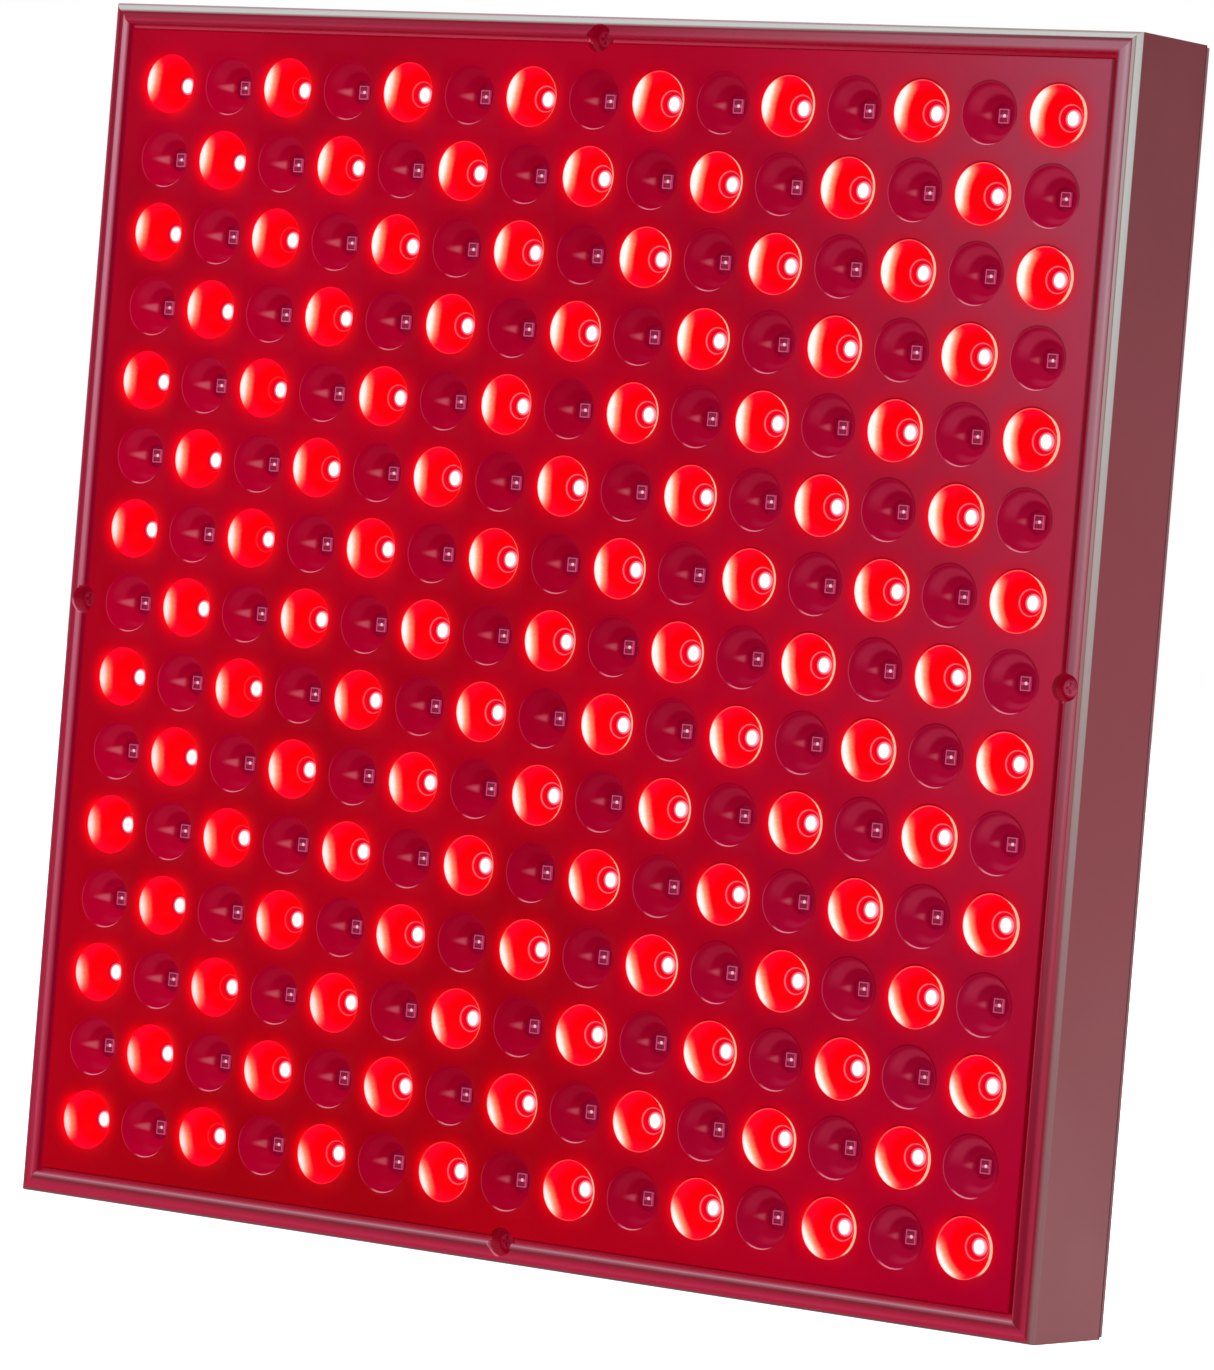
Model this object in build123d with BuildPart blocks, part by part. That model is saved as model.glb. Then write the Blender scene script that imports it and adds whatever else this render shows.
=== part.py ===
from build123d import *

import math
import os

# A red light therapy panel: a square moulded frame, a reflector plate with a lamp at the bottom of
# each of its cups, one lamp board behind it, and the mains parts on the inside of the rear cover.
# Millimetres. X runs across the panel, -Y is the lit front, +Z is up, and the origin is the middle
# of the bottom edge that the panel stands on.

# Panel
panel_size = 310.0
panel_depth = 35.0
fit_gap = 0.3
overrun = 1.0

# Rim moulding, from the outer edge inwards
edge_round_width = 1.7
edge_round_drop = 2.2
band_width = 1.9
band_dip = 0.25
bead_width = 1.9
bead_rise = 0.6
groove_width = 1.3
groove_depth = 1.2
frame_wall = 2.4
ledge_width = 4.2
ledge_thickness = 2.0
arc_crown_share = 0.5

# Reflector plate and its cups
plate_margin_thickness = 2.0
cup_rows = 15
cup_sides = 6
cup_mouth_radius = 7.5
cup_hole_radius = 3.0
cup_depth = 7.5

# Lamps and their board
lamp_width = 2.8
lamp_height = 3.5
lamp_thickness = 0.7
board_thickness = 1.6
sheet_thickness = 0.4
sheet_margin = 6.0

# Screws, all with heads of the same number of sides, and the hidden bosses that they go into
screw_sides = 6
boss_sides = 8
screw_clearance = 0.15
front_screw_head_radius = 2.4
front_screw_head_height = 1.7
front_screw_radius = 1.5
front_screw_length = 17.0
cover_screw_head_radius = 2.8
cover_screw_head_height = 1.6
cover_screw_radius = 1.5
cover_screw_length = 12.0
small_screw_head_radius = 2.2
small_screw_head_height = 1.2
small_screw_radius = 1.1
board_screw_length = 5.5
driver_screw_length = 4.6
board_screw_rows = (-5, 0, 5)
board_screw_share = 0.3

# Screw wells in the rim, at the middle of each side
well_radius = 3.5
well_inset = 5.5
well_seat_depth = 5.1
well_floor = 2.0
pillar_radius = 2.7
tip_room = 1.0

# Rear cover
cover_thickness = 2.2
cover_inset = 0.5
seam_gap = 0.4
lip_thickness = 1.5
lip_height = 2.0
corner_boss_radius = 4.2
corner_boss_sink = 1.0
cover_edge = 0.8
counterbore_depth = 2.0
counterbore_gap = 0.5
vent_length = 34.0
vent_width = 3.0
vent_pitch = 9.0
vent_columns = 4
vent_rows = 8
vent_gap = 12.0
vent_height_share = 0.12

# Six-sided threaded inserts that take the eyes of a hanging kit or the bolts of a stand
insert_spacing = 220.0
insert_sides = 6
insert_radius = 3.2
insert_bore_radius = 1.65
insert_length = 8.0
insert_clearance = 0.03
insert_boss_wall = 1.7
insert_boss_floor = 1.5

# Mains inlet
inlet_from_centre = 24.0
inlet_from_bottom = 36.0
inlet_flange_width = 31.0
inlet_flange_height = 24.5
inlet_flange_thickness = 2.2
inlet_body_width = 27.0
inlet_body_height = 19.8
inlet_body_depth = 15.3
inlet_wall = 1.6
inlet_floor = 2.2
inlet_corner_cut = 4.6
inlet_flange_corner = 2.0
pin_thickness = 2.0
pin_width = 4.0
pin_spacing = 7.0
pin_offset = 2.0
pin_recess = 2.5
tab_length = 4.6

# Rocker switch
switch_from_centre = 24.0
switch_flange_width = 15.0
switch_flange_length = 21.0
switch_flange_thickness = 1.8
switch_body_width = 12.8
switch_body_length = 19.2
switch_body_depth = 12.5
switch_wall = 1.2
switch_cavity_depth = 8.2
switch_sink = 5.2
rocker_axis_depth = 2.5
rocker_proud = 0.4
rocker_keel = 2.5
rocker_tilt = 10.0
axle_radius = 1.0
axle_clearance = 0.05
axle_length = 0.8
terminal_width = 4.8
terminal_thickness = 0.8
terminal_spacing = 10.0

# Driver board and what stands on it
drum_sides = 12
driver_width = 124.0
driver_height = 62.0
driver_thickness = 1.6
driver_from_bottom = 112.0
standoff_radius = 3.4
standoff_height = 4.0
standoff_inset = 5.0
block_depth = 9.0
block_height = 10.0
block_wall = 3.0
block_edge = 1.0
output_pitch = 7.0
output_from_side = 22.0
core_width = 21.0
core_height = 18.0
core_thickness = 5.0
core_leg = 6.0
core_yoke = 3.5
core_gap = 0.2
bobbin_wall = 0.8
winding_build = 2.4
winding_inset = 0.4
bulk_capacitor_radius = 6.5
bulk_capacitor_height = 13.0
output_capacitor_radius = 4.0
output_capacitor_height = 12.0
output_capacitor_gap = 2.0
choke_radius = 6.5
choke_drum_radius = 4.6
choke_height = 11.0
choke_flange = 1.5
rectifier_length = 15.0
rectifier_thickness = 4.0
rectifier_height = 11.0
fuse_radius = 2.5
fuse_length = 20.0
clip_wall = 0.8
clip_length = 5.0
clip_floor = 1.0
sink_length = 26.0
sink_plate = 1.5
sink_fin = 1.2
sink_fin_depth = 5.0
sink_fins = 4
sink_height = 12.5
transistor_width = 10.0
transistor_thickness = 4.4
transistor_height = 9.5
choke_shares = (0.26, -0.26)
fuse_shares = (0.06, -0.38)
rectifier_shares = (-0.34, -0.1)
bulk_capacitor_shares = (-0.36, 0.2)
sink_shares = (-0.14, 0.26)
transformer_shares = (0.1, 0.08)
output_capacitor_shares = (0.3, 0.08)

# Leads inside the housing
lead_radius = 1.0
lead_sides = 6
connector_width = 15.0
connector_height = 8.0
connector_depth = 6.0
connector_rise = 14.0
entry_depth = 4.0
lead_turn = 6.0
lead_drop = 7.0

# Places across the panel, from the centre outwards
panel_half = panel_size / 2
panel_middle = panel_size / 2
round_reach = panel_half - edge_round_width
band_reach = round_reach - band_width
groove_reach = band_reach - bead_width
plate_half = groove_reach - groove_width
opening_half = plate_half + fit_gap
block_half = plate_half - ledge_width
ledge_half = block_half + fit_gap
wall_inside = panel_half - frame_wall
well_reach = panel_half - well_inset
well_boss_radius = well_reach - ledge_half
corner_boss_reach = wall_inside - corner_boss_radius + corner_boss_sink
cup_pitch = 2 * block_half / cup_rows
cup_mouth_reach = cup_mouth_radius * math.cos(math.pi / cup_sides)
cup_hole_reach = cup_hole_radius * math.cos(math.pi / cup_sides)

# Places through the depth, from the front backwards
crown_y = -panel_depth / 2
face_y = crown_y + bead_rise
groove_y = face_y + groove_depth
ledge_y = face_y + plate_margin_thickness
ledge_back_y = ledge_y + ledge_thickness
seat_y = crown_y + well_seat_depth
well_back_y = seat_y + well_floor
board_y = face_y + cup_depth
board_back_y = board_y + board_thickness
back_y = panel_depth / 2
cover_y = back_y - cover_thickness
lip_y = cover_y - lip_height
wall_end_y = cover_y - seam_gap
cover_seat_y = back_y - counterbore_depth
sheet_y = board_back_y + sheet_thickness
inlet_seat_y = back_y - inlet_flange_thickness
inlet_back_y = inlet_seat_y - inlet_body_depth
pin_tip_y = back_y - pin_recess
switch_seat_y = back_y - switch_sink
bezel_y = switch_seat_y + switch_flange_thickness
switch_back_y = switch_seat_y - switch_body_depth
axle_y = bezel_y - rocker_axis_depth
driver_back_y = cover_y - standoff_height
driver_y = driver_back_y - driver_thickness
block_lead_y = driver_y - block_depth / 2

# Places of the mains parts, from the panel's middle
inlet_x = -inlet_from_centre
inlet_z = inlet_from_bottom - panel_middle
switch_x = switch_from_centre
driver_z = driver_from_bottom - panel_middle
driver_top = driver_z + driver_height / 2
driver_bottom = driver_z - driver_height / 2
output_x = driver_width / 2 - output_from_side
connector_z = driver_top + connector_rise


def layer(y, x=0, z=0):
    """A plane that faces the viewer in front at depth y, with its origin x and z from the panel's middle."""
    return Plane((x, y, panel_middle + z), (1, 0, 0), (0, -1, 0))


def corners(reach_x, reach_z):
    """The four corners of a rectangle about a plane's origin."""
    return [(sx * reach_x, sz * reach_z) for sx in (-1, 1) for sz in (-1, 1)]


def screws(plane, spots, head_radius, head_height, radius, length, turned=1):
    """Screws with their seats on the plane: heads on its outer side, shanks the other way."""
    with BuildPart() as made:
        with BuildSketch(plane):
            with Locations(*spots):
                RegularPolygon(head_radius, screw_sides)
        extrude(amount=turned * head_height)
        with BuildSketch(plane):
            with Locations(*spots):
                RegularPolygon(radius, screw_sides)
        extrude(amount=-turned * length)
    return made


def lead(*route):
    """One insulated wire of even thickness along straight runs between the route's points."""
    with BuildPart() as made:
        with BuildLine() as path:
            Polyline(*route)
        with BuildSketch(Plane(path.line @ 0, z_dir=path.line % 0)):
            RegularPolygon(lead_radius, lead_sides)
        sweep(transition=Transition.RIGHT)
    return made


well_spots = [(well_reach, 0), (0, well_reach), (-well_reach, 0), (0, -well_reach)]

# Front frame: the rim moulding and side walls in one profile, mitred at the corners
with BuildPart() as front_frame:
    with BuildLine() as frame_run:
        Polyline(
            (panel_half, 0, panel_middle),
            (panel_half, 0, panel_middle + panel_half),
            (-panel_half, 0, panel_middle + panel_half),
            (-panel_half, 0, panel_middle - panel_half),
            (panel_half, 0, panel_middle - panel_half),
            close=True,
        )
    with BuildSketch(Plane.XY.offset(panel_middle)):
        with BuildLine():
            Polyline(
                (groove_reach, face_y),
                (groove_reach, groove_y),
                (opening_half, groove_y),
                (opening_half, ledge_y),
                (ledge_half, ledge_y),
                (ledge_half, ledge_back_y),
                (wall_inside, ledge_back_y),
                (wall_inside, wall_end_y),
                (panel_half, wall_end_y),
                (panel_half, face_y + edge_round_drop),
            )
            TangentArc((panel_half, face_y + edge_round_drop), (round_reach, face_y), tangent=(0, -1))
            ThreePointArc(
                (round_reach, face_y),
                (round_reach - arc_crown_share * band_width, face_y + band_dip),
                (band_reach, face_y),
            )
            ThreePointArc(
                (band_reach, face_y),
                (band_reach - arc_crown_share * bead_width, crown_y),
                (groove_reach, face_y),
            )
        make_face()
    sweep(path=frame_run.line, transition=Transition.RIGHT)
    # Bosses: one under each screw well, and one in each corner for a cover screw
    with BuildSketch(layer(well_back_y)):
        with Locations(*well_spots):
            RegularPolygon(well_boss_radius, boss_sides)
    extrude(amount=well_back_y - ledge_y)
    with BuildSketch(layer(lip_y)):
        with Locations(*corners(corner_boss_reach, corner_boss_reach)):
            RegularPolygon(corner_boss_radius, boss_sides)
    extrude(amount=lip_y - ledge_y)
    # Wells with the seats of the front screws
    with BuildSketch(layer(seat_y)):
        with Locations(*well_spots):
            Circle(well_radius)
    extrude(amount=well_seat_depth + overrun, mode=Mode.SUBTRACT)
    with BuildSketch(layer(well_back_y)):
        with Locations(*well_spots):
            RegularPolygon(front_screw_radius + screw_clearance, screw_sides)
    extrude(amount=well_floor, mode=Mode.SUBTRACT)
    with BuildSketch(layer(lip_y)):
        with Locations(*corners(corner_boss_reach, corner_boss_reach)):
            RegularPolygon(cover_screw_radius + screw_clearance, screw_sides)
    extrude(amount=cover_screw_length, mode=Mode.SUBTRACT)
front_frame.part.label = "front_frame"


# Reflector plate: a thin margin that rests on the frame's ledge, and a deep middle of square cells,
# each with a tapering cup down to its lamp
with BuildPart() as cup:
    with BuildSketch(layer(face_y)):
        RegularPolygon(cup_mouth_radius, cup_sides, rotation=180 / cup_sides)
    extrude(amount=-cup_depth)
    for side in range(cup_sides):
        across, along = math.cos(math.tau * side / cup_sides), math.sin(math.tau * side / cup_sides)
        slope = (cup_mouth_reach - cup_hole_reach) / cup_depth
        mouth_point = (across * cup_mouth_reach, face_y, panel_middle + along * cup_mouth_reach)
        split(bisect_by=Plane(mouth_point, z_dir=(across, slope, along)), keep=Keep.BOTTOM)

cells = [cell - (cup_rows - 1) / 2 for cell in range(cup_rows)]
drilled_rows = [row * cup_pitch for row in board_screw_rows]
plain_rows = [cell * cup_pitch for cell in cells if cell not in board_screw_rows]
board_screw_x = board_screw_share * 2 * block_half

with BuildPart() as cup_row:
    with BuildSketch(layer(board_y)):
        Rectangle(2 * block_half, cup_pitch)
    extrude(amount=cup_depth)
    with Locations(*[(cell * cup_pitch, 0, 0) for cell in cells]):
        add(cup.part, mode=Mode.SUBTRACT)

with BuildPart() as drilled_cup_row:
    add(cup_row.part)
    with BuildSketch(layer(board_y)):
        with Locations((-board_screw_x, 0), (board_screw_x, 0)):
            RegularPolygon(small_screw_radius + screw_clearance, screw_sides)
    extrude(amount=board_screw_length - board_thickness + screw_clearance, mode=Mode.SUBTRACT)

with BuildPart() as reflector_plate:
    with BuildSketch(layer(ledge_y)):
        Rectangle(2 * plate_half, 2 * plate_half)
        Rectangle(2 * block_half, 2 * block_half, mode=Mode.SUBTRACT)
        with Locations(*well_spots):
            Circle(well_radius, mode=Mode.SUBTRACT)
    extrude(amount=plate_margin_thickness)
    drilled = [drilled_cup_row.part.moved(Location((0, 0, z))) for z in drilled_rows]
    plain = [cup_row.part.moved(Location((0, 0, z))) for z in plain_rows]
    add(drilled + plain)
reflector_plate.part.label = "reflector_plate"

# Lamp board with its lamps: red and infrared ones take turns like the squares of a chessboard
board_screw_spots = [(side * board_screw_x, z) for side in (-1, 1) for z in drilled_rows]
with BuildPart() as lamp_board:
    with BuildSketch(layer(board_back_y)):
        Rectangle(2 * block_half, 2 * block_half)
        with Locations(*board_screw_spots):
            RegularPolygon(small_screw_radius + screw_clearance, screw_sides, mode=Mode.SUBTRACT)
    extrude(amount=board_thickness)
lamp_board.part.label = "lamp_board"

lamp_cells = [(column, row) for column in range(cup_rows) for row in range(cup_rows)]
red_spots = [(cells[c] * cup_pitch, cells[r] * cup_pitch) for c, r in lamp_cells if (c + r) % 2 == 0]
infrared_spots = [(cells[c] * cup_pitch, cells[r] * cup_pitch) for c, r in lamp_cells if (c + r) % 2]


def lamps(spots):
    """Square lamp packages that stand on the lamp board."""
    with BuildPart() as made:
        with BuildSketch(layer(board_y)):
            with Locations(*spots):
                Rectangle(lamp_width, lamp_height)
        extrude(amount=lamp_thickness)
    return made


red_lamps = lamps(red_spots)
red_lamps.part.label = "red_lamps"
infrared_lamps = lamps(infrared_spots)
infrared_lamps.part.label = "infrared_lamps"

board_screws = screws(
    layer(board_back_y), board_screw_spots,
    small_screw_head_radius, small_screw_head_height, small_screw_radius, board_screw_length, turned=-1,
)
board_screws.part.label = "board_screws"

# Insulating sheet on the back of the lamp board, behind all mains parts
sheet_top = driver_top + sheet_margin
sheet_bottom = inlet_z - inlet_body_height / 2 - sheet_margin
with BuildPart() as insulating_sheet:
    with BuildSketch(layer(sheet_y, 0, (sheet_top + sheet_bottom) / 2)):
        Rectangle(driver_width + 2 * sheet_margin, sheet_top - sheet_bottom)
    extrude(amount=sheet_thickness)
insulating_sheet.part.label = "insulating_sheet"

# Rear cover: a flat lid with a locating lip, pillars for the front screws, standoffs for the driver,
# bosses for the threaded inserts, and sunk trays for the inlet and the switch
cover_half = panel_half - cover_inset
lip_half = wall_inside - fit_gap
standoff_spots = corners(driver_width / 2 - standoff_inset, driver_height / 2 - standoff_inset)
insert_spots = corners(insert_spacing / 2, insert_spacing / 2)
corner_spots = corners(corner_boss_reach, corner_boss_reach)
inlet_pocket = (inlet_flange_width + 2 * fit_gap, inlet_flange_height + 2 * fit_gap)
switch_pocket = (switch_flange_width + 2 * fit_gap, switch_flange_length + 2 * fit_gap)
vent_z = vent_height_share * panel_size

with BuildPart() as rear_cover:
    with BuildSketch(layer(back_y)):
        Rectangle(2 * cover_half, 2 * cover_half)
    extrude(amount=cover_thickness)
    chamfer(rear_cover.edges().group_by(Axis.Y)[-1], cover_edge)
    with BuildSketch(layer(cover_y)):
        Rectangle(2 * lip_half, 2 * lip_half)
        Rectangle(2 * (lip_half - lip_thickness), 2 * (lip_half - lip_thickness), mode=Mode.SUBTRACT)
        with Locations(*corner_spots):
            RegularPolygon(corner_boss_radius, boss_sides)
        Rectangle(2 * lip_half, 2 * lip_half, mode=Mode.INTERSECT)
    extrude(amount=lip_height)
    with BuildSketch(layer(cover_y)):
        with Locations(*well_spots):
            RegularPolygon(pillar_radius, boss_sides)
    extrude(amount=cover_y - well_back_y)
    with BuildSketch(layer(cover_y, 0, driver_z)):
        with Locations(*standoff_spots):
            RegularPolygon(standoff_radius, boss_sides)
    extrude(amount=standoff_height)
    with BuildSketch(layer(cover_y)):
        with Locations(*insert_spots):
            RegularPolygon(insert_radius + insert_boss_wall, insert_sides)
    extrude(amount=insert_length - cover_thickness + insert_boss_floor)
    with BuildSketch(layer(cover_y, inlet_x, inlet_z)):
        Rectangle(inlet_pocket[0] + 2 * cover_thickness, inlet_pocket[1] + 2 * cover_thickness)
    extrude(amount=inlet_flange_thickness)
    with BuildSketch(layer(cover_y, switch_x, inlet_z)):
        Rectangle(switch_pocket[0] + 2 * cover_thickness, switch_pocket[1] + 2 * cover_thickness)
    extrude(amount=switch_sink)
    # Pockets for the flanges and openings for the bodies behind them
    with BuildSketch(layer(back_y, inlet_x, inlet_z)):
        Rectangle(*inlet_pocket)
    extrude(amount=inlet_flange_thickness, mode=Mode.SUBTRACT)
    with BuildSketch(layer(back_y, switch_x, inlet_z)):
        Rectangle(*switch_pocket)
    extrude(amount=switch_sink, mode=Mode.SUBTRACT)
    with BuildSketch(layer(inlet_seat_y, inlet_x, inlet_z)) as inlet_opening:
        Rectangle(inlet_body_width + 2 * fit_gap, inlet_body_height + 2 * fit_gap)
        chamfer(inlet_opening.vertices().group_by(Axis.Y)[-1], inlet_corner_cut)
    extrude(amount=cover_thickness, mode=Mode.SUBTRACT)
    with BuildSketch(layer(switch_seat_y, switch_x, inlet_z)):
        Rectangle(switch_body_width + 2 * fit_gap, switch_body_length + 2 * fit_gap)
    extrude(amount=cover_thickness, mode=Mode.SUBTRACT)
    # Screw holes, insert holes and vents
    with BuildSketch(layer(back_y)):
        with Locations(*corner_spots):
            Circle(cover_screw_head_radius + counterbore_gap)
    extrude(amount=counterbore_depth, mode=Mode.SUBTRACT)
    with BuildSketch(layer(cover_seat_y)):
        with Locations(*corner_spots):
            RegularPolygon(cover_screw_radius + screw_clearance, screw_sides)
    extrude(amount=cover_seat_y - lip_y, mode=Mode.SUBTRACT)
    with BuildSketch(layer(well_back_y + front_screw_length - well_floor + tip_room)):
        with Locations(*well_spots):
            RegularPolygon(front_screw_radius + screw_clearance, screw_sides)
    extrude(amount=front_screw_length - well_floor + tip_room, mode=Mode.SUBTRACT)
    with BuildSketch(layer(driver_back_y + driver_screw_length - driver_thickness + screw_clearance, 0, driver_z)):
        with Locations(*standoff_spots):
            RegularPolygon(small_screw_radius + screw_clearance, screw_sides)
    extrude(amount=driver_screw_length - driver_thickness + screw_clearance, mode=Mode.SUBTRACT)
    with BuildSketch(layer(back_y)):
        with Locations(*insert_spots):
            RegularPolygon(insert_radius, insert_sides)
    extrude(amount=insert_length, mode=Mode.SUBTRACT)
    with BuildSketch(layer(back_y, 0, vent_z)):
        with GridLocations(vent_length + vent_gap, vent_pitch, vent_columns, vent_rows):
            Rectangle(vent_length, vent_width)
    extrude(amount=cover_thickness, mode=Mode.SUBTRACT)
rear_cover.part.label = "rear_cover"

with BuildPart() as threaded_inserts:
    with BuildSketch(layer(back_y)):
        with Locations(*insert_spots):
            RegularPolygon(insert_radius - insert_clearance, insert_sides)
            Circle(insert_bore_radius, mode=Mode.SUBTRACT)
    extrude(amount=insert_length)
threaded_inserts.part.label = "threaded_inserts"

cover_screws = screws(
    layer(cover_seat_y), corner_spots,
    cover_screw_head_radius, cover_screw_head_height, cover_screw_radius, cover_screw_length, turned=-1,
)
cover_screws.part.label = "cover_screws"

front_screws = screws(
    layer(seat_y), well_spots,
    front_screw_head_radius, front_screw_head_height, front_screw_radius, front_screw_length,
)
front_screws.part.label = "front_screws"

# Mains inlet: a flanged socket with two cut corners, and three flat pins through its floor
with BuildPart() as inlet_housing:
    with BuildSketch(layer(back_y, inlet_x, inlet_z)) as inlet_flange:
        Rectangle(inlet_flange_width, inlet_flange_height)
        fillet(inlet_flange.vertices(), inlet_flange_corner)
    extrude(amount=inlet_flange_thickness)
    with BuildSketch(layer(inlet_seat_y, inlet_x, inlet_z)) as inlet_body:
        Rectangle(inlet_body_width, inlet_body_height)
        chamfer(inlet_body.vertices().group_by(Axis.Y)[-1], inlet_corner_cut)
    extrude(amount=inlet_body_depth)
    with BuildSketch(layer(back_y, inlet_x, inlet_z)) as inlet_mouth:
        Rectangle(inlet_body_width - 2 * inlet_wall, inlet_body_height - 2 * inlet_wall)
        chamfer(inlet_mouth.vertices().group_by(Axis.Y)[-1], inlet_corner_cut)
    extrude(amount=back_y - inlet_back_y - inlet_floor, mode=Mode.SUBTRACT)
    with BuildSketch(layer(inlet_back_y, inlet_x, inlet_z)):
        with Locations((-pin_spacing, -pin_offset), (0, pin_offset), (pin_spacing, -pin_offset)):
            Rectangle(pin_thickness, pin_width)
    extrude(amount=-inlet_floor, mode=Mode.SUBTRACT)
inlet_housing.part.label = "inlet_housing"

with BuildPart() as inlet_pins:
    with BuildSketch(layer(pin_tip_y, inlet_x, inlet_z)):
        with Locations((-pin_spacing, -pin_offset), (0, pin_offset), (pin_spacing, -pin_offset)):
            Rectangle(pin_thickness, pin_width)
    extrude(amount=pin_tip_y - inlet_back_y + tab_length)
inlet_pins.part.label = "inlet_pins"

# Rocker switch: a flanged body with an open top, the rocker on its axle, and two terminals
cavity_width = switch_body_width - 2 * switch_wall
cavity_length = switch_body_length - 2 * switch_wall
rocker_width = cavity_width - 2 * fit_gap
rocker_radius = cavity_length / 2 - fit_gap
rocker_dish = rocker_axis_depth + rocker_proud
rest_tilt = math.radians(rocker_tilt)
axle_plane = Plane((switch_x, axle_y, panel_middle + inlet_z), (0, 0, 1), (-1, 0, 0))
tilted_plane = Plane(axle_plane.origin, (0, -math.sin(rest_tilt), math.cos(rest_tilt)), (-1, 0, 0))

with BuildPart() as switch_housing:
    with BuildSketch(layer(bezel_y, switch_x, inlet_z)):
        Rectangle(switch_flange_width, switch_flange_length)
    extrude(amount=switch_flange_thickness)
    with BuildSketch(layer(switch_seat_y, switch_x, inlet_z)):
        Rectangle(switch_body_width, switch_body_length)
    extrude(amount=switch_body_depth)
    with BuildSketch(layer(bezel_y, switch_x, inlet_z)):
        Rectangle(cavity_width, cavity_length)
    extrude(amount=switch_cavity_depth, mode=Mode.SUBTRACT)
    with BuildSketch(axle_plane):
        Circle(axle_radius + axle_clearance)
    extrude(amount=switch_body_width / 2, both=True, mode=Mode.SUBTRACT)
switch_housing.part.label = "switch_housing"

# The rocker rests tilted with its upper half pressed, which is on
with BuildPart() as rocker:
    with BuildSketch(tilted_plane):
        Circle(rocker_radius)
        with BuildLine():
            rocker_rise = rocker_dish + rocker_radius * math.tan(rest_tilt)
            Polyline(
                (-rocker_radius, -rocker_keel),
                (-rocker_radius, rocker_rise),
                (0, rocker_dish),
                (rocker_radius, rocker_rise),
                (rocker_radius, -rocker_keel),
                close=True,
            )
        make_face(mode=Mode.INTERSECT)
    extrude(amount=rocker_width / 2, both=True)
    with BuildSketch(axle_plane):
        Circle(axle_radius)
    extrude(amount=rocker_width / 2 + axle_length, both=True)
rocker.part.label = "rocker"

with BuildPart() as switch_terminals:
    with BuildSketch(layer(switch_back_y, switch_x, inlet_z)):
        with GridLocations(0, terminal_spacing, 1, 2):
            Rectangle(terminal_width, terminal_thickness)
    extrude(amount=tab_length)
switch_terminals.part.label = "switch_terminals"


# Driver board on its standoffs, with the parts of a small mains converter
def on_board(shares):
    """The plane on the driver board's face at a place given as shares of the board's width and height."""
    return layer(driver_y, shares[0] * driver_width, driver_z + shares[1] * driver_height)


with BuildPart() as driver_board:
    with BuildSketch(layer(driver_back_y, 0, driver_z)):
        Rectangle(driver_width, driver_height)
        with Locations(*standoff_spots):
            RegularPolygon(small_screw_radius + screw_clearance, screw_sides, mode=Mode.SUBTRACT)
    extrude(amount=driver_thickness)
driver_board.part.label = "driver_board"

driver_screws = screws(
    layer(driver_y, 0, driver_z), standoff_spots,
    small_screw_head_radius, small_screw_head_height, small_screw_radius, driver_screw_length,
)
driver_screws.part.label = "driver_screws"


def terminal_block(x, z, poles, pitch, upwards):
    """A terminal block on the driver board whose wire entries face up or down."""
    entry_face = Plane((x, block_lead_y, panel_middle + z + upwards * block_height / 2), (1, 0, 0), (0, 0, upwards))
    with BuildPart() as made:
        with BuildSketch(layer(driver_y, x, z)):
            Rectangle((poles - 1) * pitch + 2 * block_wall, block_height)
        extrude(amount=block_depth)
        with BuildSketch(entry_face):
            with GridLocations(pitch, 0, poles, 1):
                RegularPolygon(lead_radius + fit_gap, lead_sides)
        extrude(amount=-entry_depth, mode=Mode.SUBTRACT)
    return made


input_block_z = driver_bottom + block_edge + block_height / 2
input_block = terminal_block(inlet_x, input_block_z, 3, pin_spacing, -1)
input_block.part.label = "input_block"
output_block_z = driver_top - block_edge - block_height / 2
output_block = terminal_block(output_x, output_block_z, 2, output_pitch, 1)
output_block.part.label = "output_block"

with BuildPart() as fuse_clips:
    clip_reach = (fuse_length - clip_length) / 2
    clip_half = fuse_radius + clip_wall
    with BuildSketch(on_board(fuse_shares)):
        with Locations((-clip_reach, 0), (clip_reach, 0)):
            Rectangle(clip_length, 2 * clip_half)
    extrude(amount=clip_floor + fuse_radius)
    with BuildSketch(on_board(fuse_shares).offset(clip_floor)):
        Rectangle(fuse_length, 2 * fuse_radius)
    extrude(amount=fuse_radius, mode=Mode.SUBTRACT)
fuse_clips.part.label = "fuse_clips"

with BuildPart() as fuse:
    fuse_plane = on_board(fuse_shares).offset(clip_floor + fuse_radius)
    with BuildSketch(Plane(fuse_plane.origin, (0, 0, 1), (1, 0, 0))):
        RegularPolygon(fuse_radius, drum_sides)
    extrude(amount=fuse_length / 2, both=True)
fuse.part.label = "fuse"

with BuildPart() as line_choke:
    with BuildSketch(on_board(choke_shares)):
        RegularPolygon(choke_radius, drum_sides)
    extrude(amount=choke_flange)
    with BuildSketch(on_board(choke_shares).offset(choke_flange)):
        RegularPolygon(choke_drum_radius, drum_sides)
    extrude(amount=choke_height - 2 * choke_flange)
    with BuildSketch(on_board(choke_shares).offset(choke_height - choke_flange)):
        RegularPolygon(choke_radius, drum_sides)
    extrude(amount=choke_flange)
line_choke.part.label = "line_choke"

with BuildPart() as rectifier:
    with BuildSketch(on_board(rectifier_shares)):
        Rectangle(rectifier_length, rectifier_thickness)
    extrude(amount=rectifier_height)
rectifier.part.label = "rectifier"

with BuildPart() as bulk_capacitor:
    with BuildSketch(on_board(bulk_capacitor_shares)):
        RegularPolygon(bulk_capacitor_radius, drum_sides)
    extrude(amount=bulk_capacitor_height)
bulk_capacitor.part.label = "bulk_capacitor"

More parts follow.
